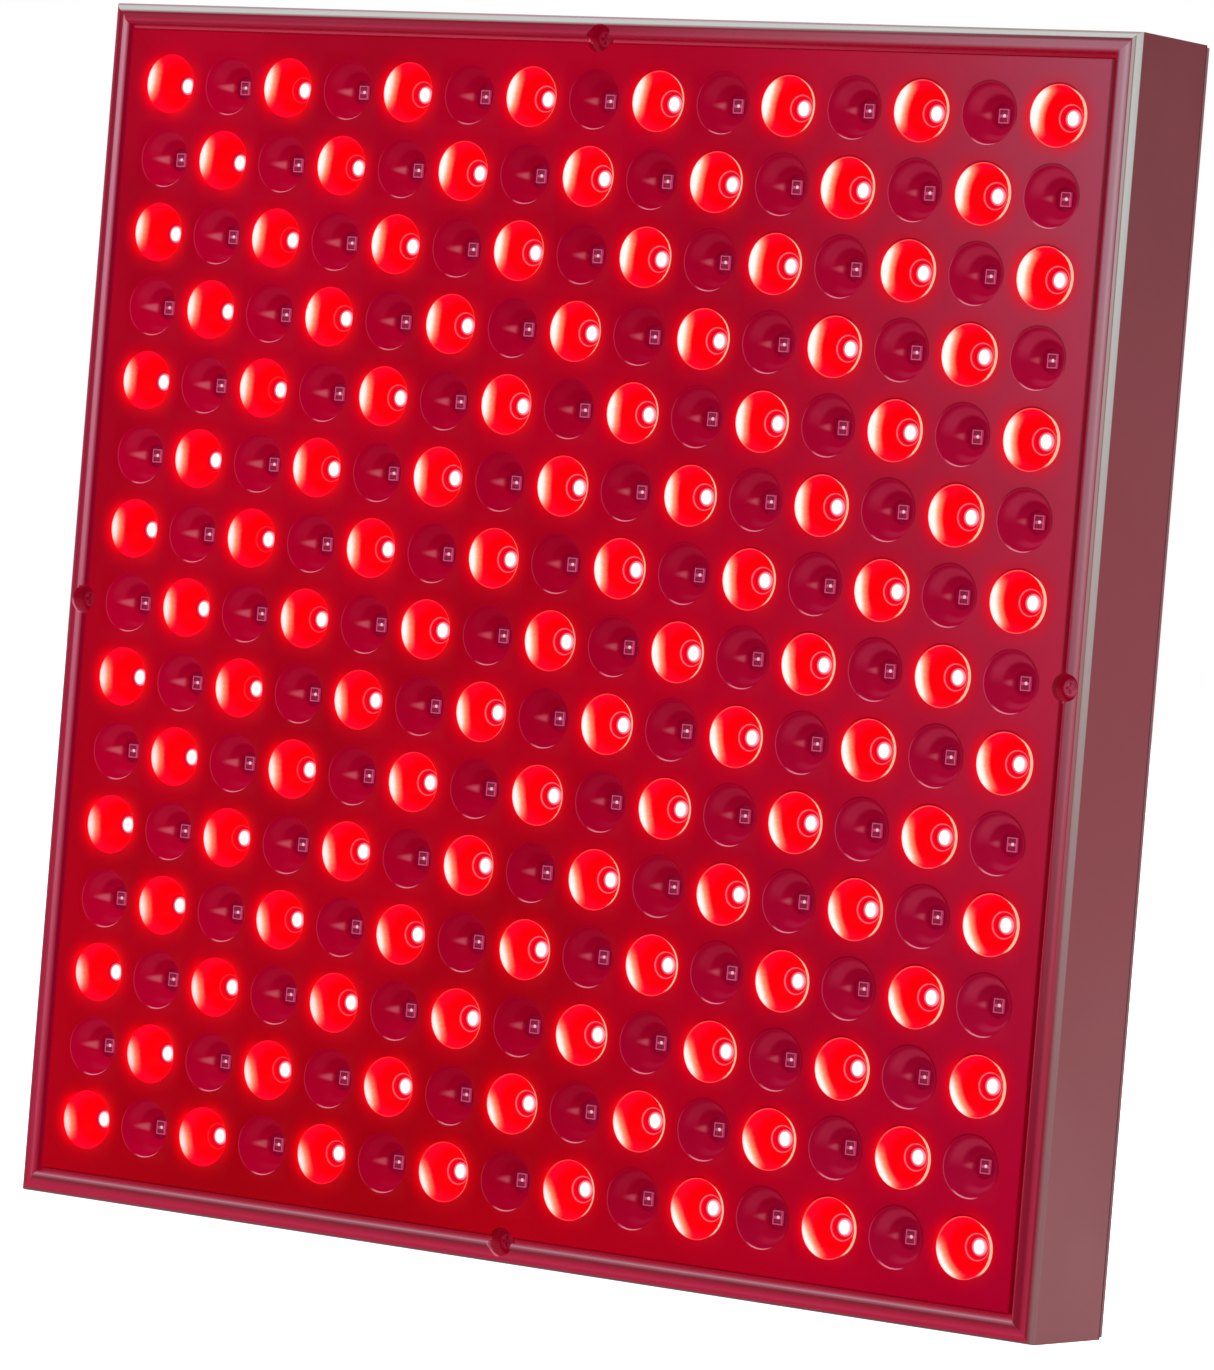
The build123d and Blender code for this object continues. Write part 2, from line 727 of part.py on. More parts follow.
with BuildPart() as output_capacitors:
    with BuildSketch(on_board(output_capacitor_shares)):
        with GridLocations(2 * output_capacitor_radius + output_capacitor_gap, 0, 2, 1):
            RegularPolygon(output_capacitor_radius, drum_sides)
    extrude(amount=output_capacitor_height)
output_capacitors.part.label = "output_capacitors"

# Heat sink with its fins upwards, and the switching transistor flat against its plate
with BuildPart() as heat_sink:
    with BuildSketch(on_board(sink_shares)):
        with Locations((0, sink_plate / 2)):
            Rectangle(sink_length, sink_plate)
        fin_pitch = (sink_length - sink_fin) / (sink_fins - 1)
        with Locations((0, sink_plate + sink_fin_depth / 2)):
            with GridLocations(fin_pitch, 0, sink_fins, 1):
                Rectangle(sink_fin, sink_fin_depth)
    extrude(amount=sink_height)
heat_sink.part.label = "heat_sink"

with BuildPart() as transistor:
    with BuildSketch(on_board(sink_shares)):
        with Locations((0, -transistor_thickness / 2)):
            Rectangle(transistor_width, transistor_thickness)
    extrude(amount=transistor_height)
transistor.part.label = "transistor"

# Transformer: a two-window core that the flanged bobbin carries, and the winding between the flanges
window_height = core_height - 2 * core_yoke
window_width = (core_width - 2 * core_leg) / 2
tube_half = core_leg / 2 + core_gap + bobbin_wall
flange_half = tube_half + winding_build
tube_depth = core_thickness + 2 * (core_gap + bobbin_wall)
flange_depth = tube_depth + 2 * winding_build
bobbin_height = window_height - 2 * core_gap
transformer_plane = on_board(transformer_shares).offset(flange_depth / 2)
bobbin_section = Plane(transformer_plane.origin, (1, 0, 0), (0, 0, 1))

with BuildPart() as transformer_core:
    with BuildSketch(transformer_plane):
        Rectangle(core_width, core_height)
        with GridLocations(core_leg + window_width, 0, 2, 1):
            Rectangle(window_width, window_height, mode=Mode.SUBTRACT)
    extrude(amount=core_thickness / 2, both=True)
transformer_core.part.label = "transformer_core"

with BuildPart() as transformer_bobbin:
    with BuildSketch(bobbin_section):
        Rectangle(2 * flange_half, flange_depth)
    extrude(amount=bobbin_height / 2, both=True)
    with BuildSketch(bobbin_section):
        Rectangle(2 * flange_half, flange_depth)
        Rectangle(2 * tube_half, tube_depth, mode=Mode.SUBTRACT)
    extrude(amount=bobbin_height / 2 - bobbin_wall, both=True, mode=Mode.SUBTRACT)
    with BuildSketch(bobbin_section):
        Rectangle(core_leg + 2 * core_gap, core_thickness + 2 * core_gap)
    extrude(amount=bobbin_height / 2, both=True, mode=Mode.SUBTRACT)
transformer_bobbin.part.label = "transformer_bobbin"

with BuildPart() as transformer_winding:
    with BuildSketch(bobbin_section):
        Rectangle(2 * (flange_half - winding_inset), flange_depth - 2 * winding_inset)
        Rectangle(2 * tube_half, tube_depth, mode=Mode.SUBTRACT)
    extrude(amount=bobbin_height / 2 - bobbin_wall, both=True)
transformer_winding.part.label = "transformer_winding"

# Leads: from the inlet through the switch to the driver, and from the driver to the lamp board
tab_y = inlet_back_y - tab_length / 2
terminal_y = switch_back_y - tab_length / 2
low_pin_z = panel_middle + inlet_z - pin_offset
switch_z = panel_middle + inlet_z
entry_z = panel_middle + driver_bottom + block_edge + entry_depth
turn_z = panel_middle + driver_bottom + block_edge - lead_turn
cross_z = turn_z - lead_turn
neutral_x = inlet_x - pin_spacing
live_x = inlet_x + pin_spacing
loop_z = switch_z - terminal_spacing / 2 - lead_drop

neutral_lead = lead(
    (neutral_x, tab_y, low_pin_z + pin_width / 2),
    (neutral_x, tab_y, turn_z),
    (neutral_x, block_lead_y, turn_z),
    (neutral_x, block_lead_y, entry_z),
)
neutral_lead.part.label = "neutral_lead"
earth_lead = lead(
    (inlet_x, tab_y, switch_z + pin_offset + pin_width / 2),
    (inlet_x, tab_y, turn_z),
    (inlet_x, block_lead_y, turn_z),
    (inlet_x, block_lead_y, entry_z),
)
earth_lead.part.label = "earth_lead"
live_lead = lead(
    (live_x, tab_y, low_pin_z - pin_width / 2),
    (live_x, tab_y, loop_z),
    (switch_x, tab_y, loop_z),
    (switch_x, tab_y, switch_z - terminal_spacing / 2 - terminal_thickness / 2),
)
live_lead.part.label = "live_lead"
switched_lead = lead(
    (switch_x, terminal_y, switch_z + terminal_spacing / 2 + terminal_thickness / 2),
    (switch_x, terminal_y, cross_z),
    (live_x, terminal_y, cross_z),
    (live_x, block_lead_y, cross_z),
    (live_x, block_lead_y, entry_z),
)
switched_lead.part.label = "switched_lead"

with BuildPart() as lamp_board_connector:
    with BuildSketch(layer(board_back_y + connector_depth, output_x, connector_z)):
        Rectangle(connector_width, connector_height)
        with GridLocations(output_pitch, 0, 2, 1):
            RegularPolygon(lead_radius + fit_gap, lead_sides, mode=Mode.SUBTRACT)
    extrude(amount=connector_depth)
lamp_board_connector.part.label = "lamp_board_connector"

output_lead_left, output_lead_right = [
    lead(
        (output_x + side * output_pitch / 2, block_lead_y, panel_middle + driver_top - block_edge - entry_depth),
        (output_x + side * output_pitch / 2, block_lead_y, panel_middle + connector_z),
        (output_x + side * output_pitch / 2, board_back_y, panel_middle + connector_z),
    )
    for side in (-1, 1)
]
with BuildPart() as output_leads:
    add(output_lead_left.part)
    add(output_lead_right.part)
output_leads.part.label = "output_leads"

os.makedirs("parts", exist_ok=True)
for piece in (
    front_frame, reflector_plate, front_screws, lamp_board, red_lamps, infrared_lamps, board_screws,
    insulating_sheet, rear_cover, cover_screws, threaded_inserts, inlet_housing, inlet_pins,
    switch_housing, rocker, switch_terminals, driver_board, driver_screws, input_block, output_block,
    fuse_clips, fuse, line_choke, rectifier, bulk_capacitor, output_capacitors, heat_sink, transistor,
    transformer_core, transformer_bobbin, transformer_winding, neutral_lead, earth_lead, live_lead,
    switched_lead, output_leads, lamp_board_connector,
):
    export_step(piece.part, f"parts/{piece.part.label}.step")
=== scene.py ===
import math

import bpy
from mathutils import Matrix, Vector


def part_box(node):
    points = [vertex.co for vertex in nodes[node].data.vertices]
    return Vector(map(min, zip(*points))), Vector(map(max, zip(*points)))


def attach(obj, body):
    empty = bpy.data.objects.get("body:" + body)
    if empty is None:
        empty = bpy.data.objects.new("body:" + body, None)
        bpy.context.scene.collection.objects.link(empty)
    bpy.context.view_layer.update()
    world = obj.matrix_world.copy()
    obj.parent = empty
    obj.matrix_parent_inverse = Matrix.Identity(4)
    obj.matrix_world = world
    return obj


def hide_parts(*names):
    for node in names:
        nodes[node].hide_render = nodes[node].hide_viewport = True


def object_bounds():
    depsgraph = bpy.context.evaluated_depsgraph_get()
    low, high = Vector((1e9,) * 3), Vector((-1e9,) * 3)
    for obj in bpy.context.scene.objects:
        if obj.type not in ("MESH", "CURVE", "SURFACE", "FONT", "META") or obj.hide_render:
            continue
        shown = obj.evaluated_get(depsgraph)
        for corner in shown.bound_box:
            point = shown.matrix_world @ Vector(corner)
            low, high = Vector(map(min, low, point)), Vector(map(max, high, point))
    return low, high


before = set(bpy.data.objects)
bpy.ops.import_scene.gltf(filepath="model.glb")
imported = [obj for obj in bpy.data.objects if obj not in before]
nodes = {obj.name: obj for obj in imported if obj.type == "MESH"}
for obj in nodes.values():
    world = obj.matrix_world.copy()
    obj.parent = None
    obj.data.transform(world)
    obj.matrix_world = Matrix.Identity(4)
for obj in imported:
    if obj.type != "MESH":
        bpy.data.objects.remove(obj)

# Blender's lengths are metres and MM turns millimetres into them. X runs across the panel, -Y is its
# lit front and Z is up.
MM = 0.001
cad_low, cad_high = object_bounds()


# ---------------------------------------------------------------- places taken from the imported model

def edges_of(node):
    """The lowest and highest corners of a CAD node, in millimetres."""
    low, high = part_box(node)
    return low / MM, high / MM


frame_low, frame_high = edges_of("front_frame")
plate_low, plate_high = edges_of("reflector_plate")
_, board_high = edges_of("lamp_board")
_, screws_high = edges_of("front_screws")

# The panel's middle height and half width, and its places along the depth from the front to the back
middle = (frame_low.z + frame_high.z) / 2
panel_half = frame_high.x
crown_y = frame_low.y
face_y = plate_low.y
margin_back_y = face_y + 2.0
ledge_back_y = margin_back_y + 2.0
board_y = plate_high.y
wall_end_y = frame_high.y

# The reflector plate, its block of cups and the size of one cup
plate_half = plate_high.x
block_half = board_high.x
cup_rows = 15
cup_pitch = 2 * block_half / cup_rows
cup_mouth = 7.5
cup_hole = 3.0

# Screws by the radius and height of their heads, and the wells in the rim
rim_head, rim_head_height = 2.4, 1.7
lid_head, lid_head_height = 2.8, 1.6
screw_shank = 1.5
screw_hole = 1.65
well_reach = screws_high.x - rim_head
well_radius = 3.5
well_seat_y = crown_y + 5.1
well_spots = [
    (x * well_reach, middle + z * well_reach) for x, z in ((1, 0), (0, 1), (-1, 0), (0, -1))
]

# Points that meet within merge_reach are merged, and a point within snap of a place counts as there.
# A distance under near_zero counts as near_zero where something is divided by it.
merge_reach = 0.002
snap = 0.02
near_zero = 0.05


# ---------------------------------------------------------------- materials

def seen(red, green, blue):
    """A colour as it looks on a screen, each part from 0 to 255, in the numbers that a shader takes."""
    parts = [part / 255 for part in (red, green, blue)]
    return tuple(p / 12.92 if p <= 0.04045 else ((p + 0.055) / 1.055) ** 2.4 for p in parts) + (1.0,)


class Number:
    """A number that changes over the surface, written in sums like any other."""

    def __init__(self, paint, socket):
        self.paint, self.socket = paint, socket

    def math(self, operation, *others, clamp=False):
        sockets = dict(enumerate((self, *others)))
        made = self.paint.node("Math", {"operation": operation, "use_clamp": clamp}, sockets)
        return Number(self.paint, made.outputs[0])

    def __add__(self, other):
        return self.math("ADD", other)

    def __sub__(self, other):
        return self.math("SUBTRACT", other)

    def __rsub__(self, other):
        made = self.paint.node("Math", {"operation": "SUBTRACT"}, {0: other, 1: self})
        return Number(self.paint, made.outputs[0])

    def __mul__(self, other):
        return self.math("MULTIPLY", other)

    def __truediv__(self, other):
        return self.math("DIVIDE", other)

    def __pow__(self, other):
        return self.math("POWER", other)

    def __abs__(self):
        return self.math("ABSOLUTE")

    __radd__, __rmul__ = __add__, __mul__

    def larger(self, other):
        return self.math("MAXIMUM", other)

    def smaller(self, other):
        return self.math("MINIMUM", other)

    def kept(self):
        """The number held between 0 and 1."""
        return self.math("ADD", 0.0, clamp=True)

    def ramp(self, start, end):
        """0 before start, 1 after end, and a smooth rise between them. start may be above end."""
        made = self.paint.node(
            "MapRange", {"interpolation_type": "SMOOTHSTEP"},
            {"Value": self, "From Min": min(start, end), "From Max": max(start, end),
             "To Min": float(start > end), "To Max": float(start < end)},
        )
        return Number(self.paint, made.outputs["Result"])

    def near(self, centre, width, soft):
        """1 within width of centre, falling to 0 over the soft edge."""
        return abs(self - centre).ramp(width + soft, width)


def distance(across, up):
    """How far a point lies from the origin of two such numbers."""
    return (across * across + up * up).math("SQRT")


class Paint:
    """The nodes of one material. Its fixed values name the shader's sockets, with _ for a space."""

    def __init__(self, name, **fixed):
        self.material = bpy.data.materials.new(name)
        self.material.use_nodes = True
        self.tree = self.material.node_tree
        self.shader = self.tree.nodes["Principled BSDF"]
        for socket, value in fixed.items():
            self.shader.inputs[socket.replace("_", " ")].default_value = value
        point = self.node("TexCoord").outputs["Object"]
        split = self.node("SeparateXYZ", inputs={"Vector": point})
        self.point = point
        self.x, self.y, self.z = [Number(self, split.outputs[axis]) * (1 / MM) for axis in "XYZ"]

    def node(self, kind, settings=None, inputs=None):
        """A node with its settings, and its inputs set to plain values or linked."""
        made = self.tree.nodes.new("ShaderNode" + kind)
        for setting, value in (settings or {}).items():
            if setting == "stops":
                elements = made.color_ramp.elements
                for end in (0, -1):
                    elements[end].position, elements[end].color = value[end]
                for place, colour in value[1:-1]:
                    elements.new(place).color = colour
            else:
                setattr(made, setting, value)
        for socket, value in (inputs or {}).items():
            if isinstance(value, Number):
                value = value.socket
            if isinstance(value, bpy.types.NodeSocket):
                self.tree.links.new(value, made.inputs[socket])
            else:
                made.inputs[socket].default_value = value
        return made

    def link(self, socket, value):
        self.tree.links.new(getattr(value, "socket", value), self.shader.inputs[socket])

    def mix(self, share, first, second):
        """From the first colour at a share of 0 to the second at 1."""
        settings = {"data_type": "RGBA", "clamp_factor": True}
        return self.node("Mix", settings, {0: share, 6: first, 7: second}).outputs[2]

    def noise(self, size_mm, detail=2.0, rough=0.5, stretch=(1, 1, 1)):
        """Even noise from 0 to 1 with spots of about this size."""
        moved = self.node("Mapping", inputs={"Vector": self.point, "Scale": stretch})
        made = self.node(
            "TexNoise", inputs={"Vector": moved.outputs[0], "Scale": 1 / (size_mm * MM),
                                "Detail": detail, "Roughness": rough},
        )
        return Number(self, made.outputs[0])

    def quiet(self):
        """The material, its glow left out of the lamps that light the scene."""
        self.material.cycles.emission_sampling = "NONE"
        return self.material

    def bump(self, height, depth_mm):
        made = self.node("Bump", inputs={"Height": height, "Distance": depth_mm * MM, "Strength": 1.0})
        self.link("Normal", made.outputs[0])


def moulded(name, colour, roughness, grain=0.6, spread=0.06, depth=0.02):
    """Moulded plastic: a fine spark-eroded grain, soft clouds in its tone and a few rubbed places."""
    paint = Paint(name)
    clouds, fine = paint.noise(25.0), paint.noise(grain, 3.0)
    dark = tuple(c * (1 - spread * 3) for c in colour[:3]) + (1.0,)
    light = tuple(min(1.0, c * (1 + spread * 2) + spread * 0.04) for c in colour[:3]) + (1.0,)
    tone = (clouds * 0.6 + fine * 0.4).ramp(0.3, 0.7)
    paint.link("Base Color", paint.mix(tone, dark, light))
    rubbed = paint.noise(9.0, 4.0).ramp(0.55, 0.75)
    paint.link("Roughness", roughness + (fine - 0.5) * 0.16 - rubbed * 0.07)
    paint.bump(fine, depth)
    return paint.material


def metal(name, colour, roughness, brushed=(1, 1, 1), depth=0.008):
    """Plated or drawn metal with fine working marks and faint stains."""
    paint = Paint(name, Metallic=1.0)
    marks, stains = paint.noise(0.5, 3.0, 0.6, brushed), paint.noise(4.0, 4.0)
    dull = tuple(c * 0.72 for c in colour[:3]) + (1.0,)
    paint.link("Base Color", paint.mix((stains * 0.7 + marks * 0.3).ramp(0.35, 0.65), dull, colour))
    paint.link("Roughness", roughness + (marks - 0.5) * 0.25 + stains.ramp(0.5, 0.7) * 0.1)
    paint.bump(marks, depth)
    return paint.material


class Cells:
    """Where a point of the panel lies in its cup's square cell, in millimetres from the cup's middle."""

    def __init__(self, paint):
        across, up = paint.x / cup_pitch, (paint.z - middle) / cup_pitch
        edge = (cup_rows - 1) / 2
        self.column = across.math("ROUND").larger(-edge).smaller(edge)
        self.row = up.math("ROUND").larger(-edge).smaller(edge)
        self.x, self.z = (across - self.column) * cup_pitch, (up - self.row) * cup_pitch
        self.reach = distance(self.x, self.z)
        self.lit = 1 - abs((self.column + self.row).math("MODULO", 2.0))
        # The cup's place on the plate, from -1 at the left and bottom to 1 at the right and top
        self.column_share, self.row_share = self.column / edge, self.row / edge
        # The step from the nearest lit cup, which is one of the four beside a cup that isn't lit. In the
        # outer cups that step can lead off the plate, so no light falls on their outer edge.
        unlit = 1 - self.lit
        aside = abs(self.x).math("GREATER_THAN", abs(self.z)) * unlit
        self.from_x = self.x - self.x.math("SIGN") * aside * cup_pitch
        self.from_z = self.z - self.z.math("SIGN") * (unlit - aside) * cup_pitch
        outer = abs(paint.x).larger(abs(paint.z - middle)).ramp(block_half - 5.5, block_half - 1.5)
        beyond_light = 20.0
        self.to_light = distance(self.from_x, self.from_z) + unlit * outer * beyond_light

    def toward(self, x, z):
        """How nearly a point lies that way from its cup's middle: 1 straight that way, -1 behind."""
        return (self.x * x + self.z * z) / self.reach.larger(near_zero)


def open_plate(paint, cell, clouds):
    """The plate between the cups: crimson, a painted grey reflection towards the upper right, painted red
    light beside the lit cups and painted dark lines of shade at the cups' upper right lips.
    """
    column = cell.column_share
    across, up = (paint.x / panel_half).kept(), ((paint.z - middle) / panel_half * 0.5 + 0.5).kept()
    patches = clouds.ramp(0.3, 0.7)
    low_plate = paint.mix(patches, seen(168, 0, 16), seen(184, 0, 22))
    high_plate = paint.mix(patches, seen(162, 0, 30), seen(180, 0, 38))
    plate = paint.mix(up, low_plate, high_plate)
    plate = paint.mix(across * 0.55, plate, seen(178, 0, 58))
    # Painted reflection: greyer towards the upper right
    plate = paint.mix(across ** 3.0 * up * up * 0.9, plate, seen(160, 84, 104))
    # Painted light: red beside the lit cups
    plate = paint.mix(near_light(cell) * 0.8, plate, seen(184, 0, 8))
    # Painted shade: a dark line along the cups' upper right lips in the right columns
    outline = cell.reach.near(cup_mouth + 0.3, 0.1, 0.25) * cell.toward(0.5, 0.86).ramp(-0.1, 0.5)
    return paint.mix(outline * column.ramp(-0.2, 0.8) * 0.7, plate, seen(116, 0, 24))


def near_light(cell):
    """1 at a lit cup's lip, falling to 0 over the plate, and weaker above and below the cup."""
    reach = 5.2
    near = (1 - (cell.to_light - cup_mouth) / reach).kept()
    rightward = cell.from_x - cell.from_z * cell.row_share * 0.5
    sideward = rightward.larger(0 - cell.from_x) / cell.to_light.larger(near_zero)
    return near * near * (sideward.ramp(0.2, 1.0) * 0.6 + 0.4)


def halo(paint, cell):
    """The red light on the plate round the lit cups, strongest at their left and on the panel's left."""
    near = near_light(cell)
    around = (near * 0.26 + near ** 3.0 * 0.22) * (0.9 - (paint.x / panel_half).smaller(0.0) * 0.7)
    leftward = (0 - cell.from_x) / cell.to_light.larger(near_zero)
    around = around * (1 + leftward.ramp(0.3, 1.0) * 0.7)
    return paint.mix(around, seen(0, 0, 0), seen(236, 0, 4))


def unlit_bowl(paint, cell):
    """The plate's own tone with soft painted reflection bands on the wall, painted shade round the
    hollow, one pale painted glint and painted highlights on the lower and left lip.
    """
    column = cell.column_share
    side, right = abs(column), column.kept()
    bowl = paint.mix(right, seen(158, 0, 38), seen(156, 8, 50))
    bowl = paint.mix((0 - column).kept(), bowl, seen(172, 0, 44))
    # Painted reflections: soft lighter bands high and low on the bowl's wall
    upper = cell.reach.near(5.9, 0.4, 0.9) * cell.toward(-0.3, 0.95).ramp(0.1, 0.8)
    under = cell.reach.near(5.6, 0.2, 0.8) * cell.toward(0.3, -0.95).ramp(0.5, 0.95)
    bands = (upper + under * 0.6) * (0.05 + side * 0.12 + right * 0.28)
    bowl = paint.mix(bands, bowl, seen(188, 60, 92))
    # Painted shade in the bowl's hollow
    hollow_shade = cell.reach.near(4.3, 0.3, 0.8) * cell.toward(-0.2, 0.98).ramp(0.2, 0.8)
    bowl = paint.mix(hollow_shade * (0.06 + side * 0.14), bowl, seen(116, 0, 36))
    # A painted glint left of the hole, like a softbox's reflection
    point = cell.x - column * 0.6
    glint = point.ramp(-6.0, -4.0) * cell.x.ramp(-2.8, -3.7)
    glint = glint * (abs(cell.z + 0.1) - (point + 6.1) * 0.26).ramp(0.6, -0.4)
    bowl = paint.mix(glint * (0.64 - column * 0.12), bowl, seen(198, 94, 112))
    # Painted highlights along the lower and left lip
    low_lip_highlight = cell.toward(0.05 - 0.2 * column, -1.0).ramp(0.84, 1.0)
    low_lip_highlight = low_lip_highlight * cell.reach.near(cup_mouth - 0.1, 0.07, 0.14)
    left_lip_highlight = cell.toward(-1.0, -0.2).ramp(0.6, 0.95) * cell.reach.near(cup_mouth, 0.03, 0.1)
    lip_highlights = low_lip_highlight + left_lip_highlight * (0.14 + right * 0.14)
    return paint.mix(lip_highlights.kept() * 0.7, bowl, seen(236, 146, 160))


def lit_bowl(paint, cell):
    """The painted glow of a lit cup: a pure red floor, a white painted highlight crescent on the left
    wall that turns with the row, a thin one at the right lip, a pale lip and a thin highlight ring at the
    hole."""
    column, row = cell.column_share, cell.row_share
    lean = (row * (17.5 + column * 8.5) - 7 - column * 5) * math.radians(1)
    aim_x, aim_z = 0 - lean.math("COSINE"), lean.math("SINE")
    bend = 4.6 - column.kept() * 2.8
    deep = distance(cell.x + aim_x * bend, cell.z + aim_z * bend) - bend
    deep = deep - 6.43 + column * 0.08 + row * (0.11 + column * 0.09)
    along = cell.toward(aim_x, aim_z)
    # Painted highlight: a white crescent on the left wall with a white-hot core, peach at its edge
    crescent = deep.ramp(-0.7, 0.5) * (along + column * 0.1 + row * 0.06).ramp(0.54, 1.02)
    highlight_core = deep.ramp(-0.05, 0.65) * (along + column * 0.04).ramp(0.52, 0.96)
    # Painted highlight: a thin crescent at the right lip in the right columns
    right = cell.toward(0.98, 0.2).ramp(0.62, 0.92) * column.ramp(-0.5, 0.3) * cell.reach.ramp(7.0, 7.3)
    glow = paint.mix(cell.reach.ramp(5.2, 7.0), seen(255, 0, 8), seen(255, 6, 40))
    # Painted highlights: a pink ring at the hole and a pale line along the lip
    ring = cell.reach.near(cup_hole + 0.22, 0.06, 0.12) * column.ramp(-0.9, 0.0)
    glow = paint.mix(ring * 0.75, glow, seen(255, 120, 136))
    lip = cell.reach.near(cup_mouth - 0.08, 0.05, 0.12) * (0.2 + column * 0.3)
    glow = paint.mix(lip.kept(), glow, seen(255, 130, 110))
    specks = paint.noise(0.5, 2.0).ramp(0.45, 0.65) * 0.35
    peach = paint.mix(specks, seen(255, 186, 138), seen(255, 130, 84))
    glow = paint.mix((crescent + right).kept(), glow, paint.mix(highlight_core, peach, seen(255, 254, 247)))
    return paint.mix(cell.reach.ramp(cup_hole + 0.08, cup_hole - 0.2), glow, seen(196, 0, 26))


def right_lip_highlight(cell):
    """1 on the painted highlight arc at a lit cup's right lip, which widens with the column."""
    column = cell.column_share
    arc_width = cell.toward(0.98, -0.05).ramp(0.3, 1.0) * (0.4 + column * 0.45)
    inside = (arc_width + cup_mouth - cell.reach).ramp(0.0, 0.25) * cell.reach.ramp(7.0, 7.3)
    return inside * cell.toward(0.98, 0.1).ramp(0.4, 0.7) * column.ramp(-0.3, 0.2)


def reflector_finish():
    """Glossy red plastic; the light of the lamp in every other cup is painted on as red colour and glow,
    with painted highlights and shade in the cups.
    """
    paint = Paint("reflector_plastic", IOR=1.46, Specular_IOR_Level=0.015, Emission_Strength=1.0)
    cell = Cells(paint)
    clouds, fine = paint.noise(60.0), paint.noise(0.9, 3.0)
    in_bowl = cell.reach.ramp(cup_mouth + 0.12, cup_mouth - 0.08)
    dark, light_out = unlit_bowl(paint, cell), halo(paint, cell)
    # Painted light: the lit cups' bowls take a pure red base colour
    bowl = paint.mix(cell.lit, dark, seen(206, 0, 8))
    paint.link("Base Color", paint.mix(in_bowl, open_plate(paint, cell, clouds), bowl))
    # The lit cups' painted glow, with the painted highlight at their right lip
    light = paint.mix(in_bowl, light_out, lit_bowl(paint, cell))
    light = paint.mix(right_lip_highlight(cell) * 0.8, light, seen(255, 214, 176))
    # Painted glow in the unlit cups at 30 % of their own tone, lifting their shade
    unlit_glow = paint.mix(in_bowl, light_out, paint.mix(0.7, dark, seen(0, 0, 0)))
    paint.link("Emission Color", paint.mix(cell.lit, unlit_glow, light))
    paint.link("Roughness", 0.26 + (fine - 0.5) * 0.08 + clouds * 0.06 + in_bowl * 0.14)
    paint.bump(fine * 0.3 + clouds * 0.7, 0.03)
    return paint.quiet()


# The way over the rim's section, from the wall's front edge to the reflector plate
section_start, section_end = -2.4, 7.0


def rim_tone(paint, up, way, right, left, top):
    """The rim's tones on each of its sides by the way over its section: crimson with painted highlights,
    painted reflections of the pale surroundings and painted shade lines, differing by side and height as
    the light falls.
    """
    # From the painted pale reflection on the outer edge to the crimson beside the plate
    pale_reflection, grey_reflection, dusty = seen(199, 201, 197), seen(174, 158, 156), seen(150, 106, 108)
    pale, rose, shine = seen(184, 148, 158), seen(166, 104, 118), seen(202, 132, 152)
    blush, warm, lit = seen(198, 60, 92), seen(186, 34, 72), seen(166, 32, 64)
    crimson, groove, shade_line = seen(152, 2, 38), seen(134, 8, 40), seen(116, 46, 60)

    def section(*stops):
        """Tones on the way over the rim, each (place in millimetres, tone)."""
        span = section_end - section_start
        stops = [((place - section_start) / span, tone) for place, tone in stops]
        return paint.node("ValToRGB", {"stops": stops}, {"Fac": (way - section_start) / span}).outputs[0]

    # Painted light and shade: each side's highlight, reflection and shade bands differ with the way light
    # falls
    right_low = section(
        (-2.4, dusty), (-0.5, dusty), (1.2, groove), (1.9, lit), (2.9, lit),
        (3.5, groove), (4.9, groove), (5.25, blush), (5.6, crimson), (6.8, crimson),
    )
    right_high = section(
        (-2.3, dusty), (-2.0, pale_reflection), (0.3, pale_reflection), (0.6, dusty), (0.9, grey_reflection), (1.6, grey_reflection),
        (1.9, shade_line), (2.2, rose), (3.0, pale), (4.4, rose), (4.9, shade_line), (5.3, crimson), (6.8, crimson),
    )
    top_left = section(
        (-2.2, rose), (-0.2, pale), (0.2, pale_reflection), (1.6, pale_reflection), (2.3, groove),
        (4.4, lit), (5.0, crimson), (5.7, crimson), (5.95, blush), (6.4, blush), (6.7, crimson),
    )
    top_right = section(
        (-2.2, dusty), (-0.1, grey_reflection), (0.1, pale_reflection), (1.5, pale_reflection), (1.8, shade_line),
        (2.2, shade_line), (2.7, rose), (4.2, rose), (5.1, crimson), (6.8, crimson),
    )
    left_high = section(
        (-0.2, shade_line), (1.6, lit), (2.1, groove), (2.9, groove),
        (3.3, shine), (4.9, shine), (5.5, groove), (6.8, crimson),
    )
    left_low = section(
        (-0.2, shade_line), (1.8, lit), (3.4, warm), (4.6, warm), (5.6, groove), (6.8, crimson),
    )
    bottom = section(
        (-0.3, shade_line), (0.2, warm), (2.4, warm), (3.3, lit), (4.0, groove),
        (4.8, rose), (5.0, shine), (5.2, rose), (5.7, lit), (6.2, crimson),
    )
    height = (up / (2 * panel_half) + 0.5).kept()
    across = (paint.x / (2 * panel_half) + 0.5).kept()
    rim = paint.mix(right, bottom, paint.mix(height.ramp(0.1, 0.95), right_low, right_high))
    rim = paint.mix(top, rim, paint.mix(across.ramp(0.45, 1.0), top_left, top_right))
    return paint.mix(left, rim, paint.mix(height, left_low, left_high))


def wall_tone(paint, up, clouds):
    """The side walls: dusky, greyer towards the bottom, with a dark back edge."""
    height = (up / (2 * panel_half) + 0.5).kept()
    wall = paint.mix(height, seen(156, 94, 98), seen(116, 42, 50))
    wall = paint.mix(height.near(0.5, 0.05, 0.4) * 0.5, wall, seen(146, 42, 56))
    wall = paint.mix(clouds.ramp(0.3, 0.7) * 0.3, wall, seen(136, 64, 72))
    return paint.mix(paint.y.ramp(wall_end_y - 0.7, wall_end_y - 0.4), wall, seen(60, 14, 24))


